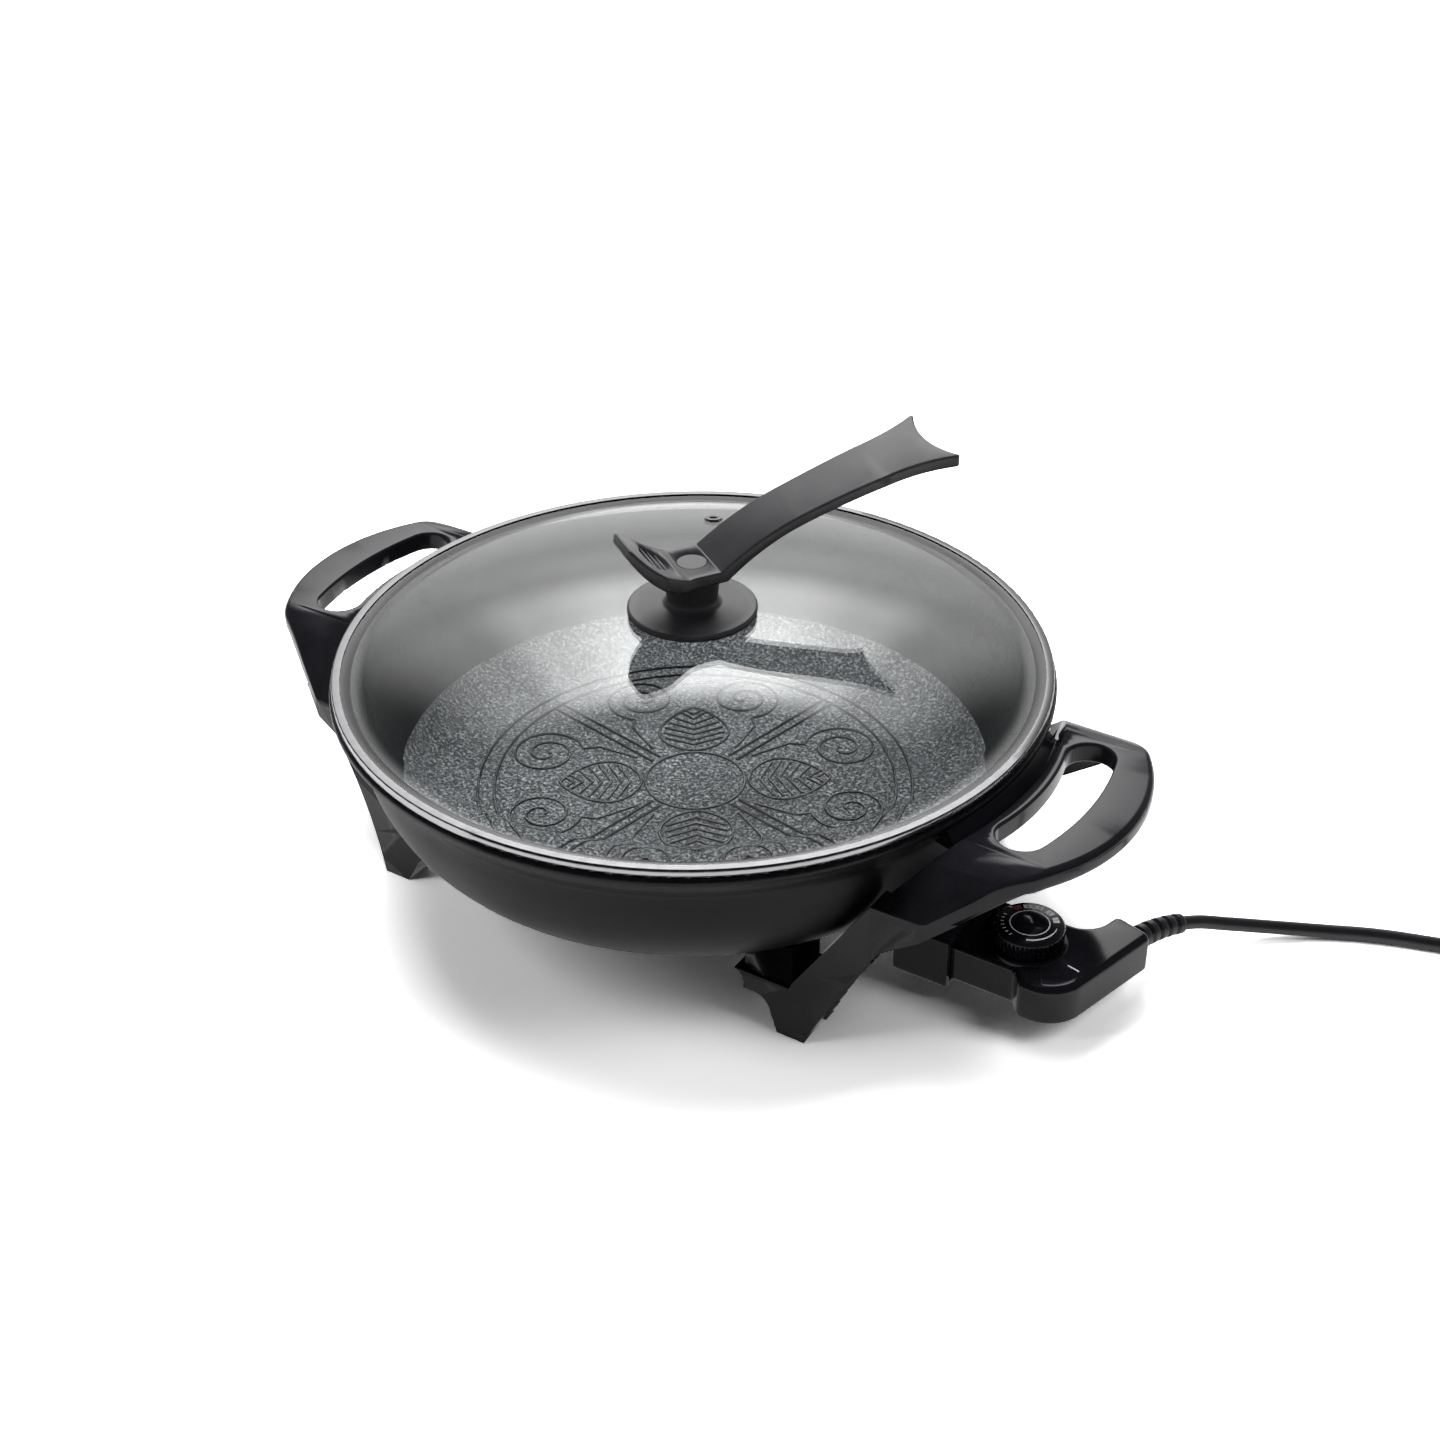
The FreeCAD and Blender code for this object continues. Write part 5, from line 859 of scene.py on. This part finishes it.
lamps = (
    {"name": "topLamp", "azimuth": 200.0, "elevation": 72.0, "distance": 1.6,
     "size": (1.2, 0.9), "power": 30.0},
    {"name": "rightLamp", "azimuth": 70.0, "elevation": 42.0, "distance": 1.7,
     "size": (0.6, 0.9), "power": 9.0},
    {"name": "leftLamp", "azimuth": -75.0, "elevation": 38.0, "distance": 1.7,
     "size": (0.6, 0.9), "power": 8.0})


def makeFloor():
    work = bmesh.new()
    bmesh.ops.create_grid(work, x_segments=1, y_segments=1, size=studio["floorSize"] / 2)
    mesh = bpy.data.meshes.new("studioFloor")
    work.to_mesh(mesh)
    work.free()
    floor = linkMesh("studioFloor", mesh)
    shader = Shader("studioFloor")
    shader.set(Roughness=0.9, Specular_IOR_Level=0.0)
    path = shader.add("ShaderNodeLightPath")
    shade = shader.mixColour(path.outputs["Is Camera Ray"], studio["floorColour"],
                             studio["seenColour"])
    shader.join(shade, shader.main.inputs["Base Color"])
    seen = shader.math("ADD", path.outputs["Is Transmission Ray"], path.outputs["Is Glossy Ray"])
    away = shader.add("ShaderNodeVectorMath", operation="LENGTH")
    shader.join(shader.place, away.inputs[0])
    glow = shader.remap(away.outputs["Value"], studio["glowFrom"], studio["glowTo"],
                        studio["glow"], studio["farGlow"])
    far = shader.remap(away.outputs["Value"], studio["farFrom"], studio["farTo"], 0.0,
                       studio["farSeen"])
    far = shader.math("MULTIPLY", far, path.outputs["Is Camera Ray"])
    glow = shader.math("ADD", shader.math("MULTIPLY", seen, glow), far)
    shader.join(glow, shader.main.inputs["Emission Strength"])
    shader.set(Emission_Color=(1, 1, 1, 1))
    giveMaterial(floor, shader.material)


class Sky:

    def __init__(self, world):
        world.use_nodes = True
        self.tree = world.node_tree
        self.background = self.tree.nodes["Background"]
        self.way = self.tree.nodes.new("ShaderNodeTexCoord").outputs["Generated"]

    def add(self, kind, **values):
        node = self.tree.nodes.new(kind)
        for key, value in values.items():
            setattr(node, key, value)
        return node

    def math(self, operation, first, second):
        node = self.add("ShaderNodeMath", operation=operation)
        for socket, value in zip(node.inputs, (first, second)):
            if isinstance(value, float):
                socket.default_value = value
            else:
                self.tree.links.new(value, socket)
        return node.outputs[0]

    def along(self, direction):
        node = self.add("ShaderNodeVectorMath", operation="DOT_PRODUCT")
        self.tree.links.new(self.way, node.inputs[0])
        node.inputs[1].default_value = direction
        return node.outputs["Value"]

    def curve(self, value, stops):
        node = self.add("ShaderNodeValToRGB")
        node.color_ramp.interpolation = "EASE"
        ends = node.color_ramp.elements
        while len(ends) < len(stops):
            ends.new(0.5)
        for end, (position, level) in zip(ends, stops):
            end.position = position
            end.color = (level, level, level, 1)
        self.tree.links.new(value, node.inputs["Fac"])
        return node.outputs["Color"]


def makeWorld():
    world = bpy.data.worlds.new("studio")
    scene.world = world
    sky = Sky(world)
    azimuth = math.radians(view["azimuth"])
    ahead = sky.along((-math.sin(azimuth), math.cos(azimuth), 0))
    aside = sky.along((math.cos(azimuth), math.sin(azimuth), 0))
    height = sky.along((0, 0, 1))
    spread = sky.math("DIVIDE", sky.math("ABSOLUTE", aside, 0.0), sky.math("MAXIMUM", ahead, 0.02))
    card = sky.math("MULTIPLY", sky.curve(height, studio["cardHeights"]),
                    sky.curve(spread, studio["cardSides"]))
    card = sky.math("MULTIPLY", card, sky.math("GREATER_THAN", ahead, 0.0))
    light = sky.math("MULTIPLY", card, studio["cardPower"])
    front, back = studio["frontRamp"]
    behind = sky.curve(sky.math("ADD", ahead, 0.5), ((front, studio["frontShare"]), (back, 1.0)))
    room = sky.math("MULTIPLY", sky.curve(height, studio["surround"]), behind)
    room = sky.math("MULTIPLY", room, sky.curve(spread, studio["roomSides"]))
    light = sky.math("ADD", light, room)
    path = sky.add("ShaderNodeLightPath")
    mix = sky.add("ShaderNodeMix", data_type="RGBA")
    sky.tree.links.new(path.outputs["Is Camera Ray"], mix.inputs[0])
    sky.tree.links.new(light, mix.inputs[6])
    mix.inputs[7].default_value = (1, 1, 1, 1)
    sky.tree.links.new(mix.outputs[2], sky.background.inputs["Color"])


def makeLamps():
    target = Vector(studio["target"])
    for lamp in lamps:
        data = bpy.data.lights.new(lamp["name"], "AREA")
        data.shape = "RECTANGLE"
        data.size, data.size_y = lamp["size"]
        data.energy = lamp["power"]
        piece = bpy.data.objects.new(lamp["name"], data)
        scene.collection.objects.link(piece)
        bearing = math.radians(view["azimuth"] + lamp["azimuth"])
        rise = math.radians(lamp["elevation"])
        away = Vector((math.sin(bearing) * math.cos(rise), -math.cos(bearing) * math.cos(rise),
                       math.sin(rise)))
        place = target + away * lamp["distance"]
        turned = (-away).to_track_quat("-Z", "Y").to_matrix().to_4x4()
        piece.matrix_world = Matrix.Translation(place) @ turned
        piece.visible_camera = False
        piece.visible_glossy = False
        piece.visible_transmission = False


makeFloor()
makeWorld()
makeLamps()
scene.view_settings.view_transform = "Standard"
print("studio made")
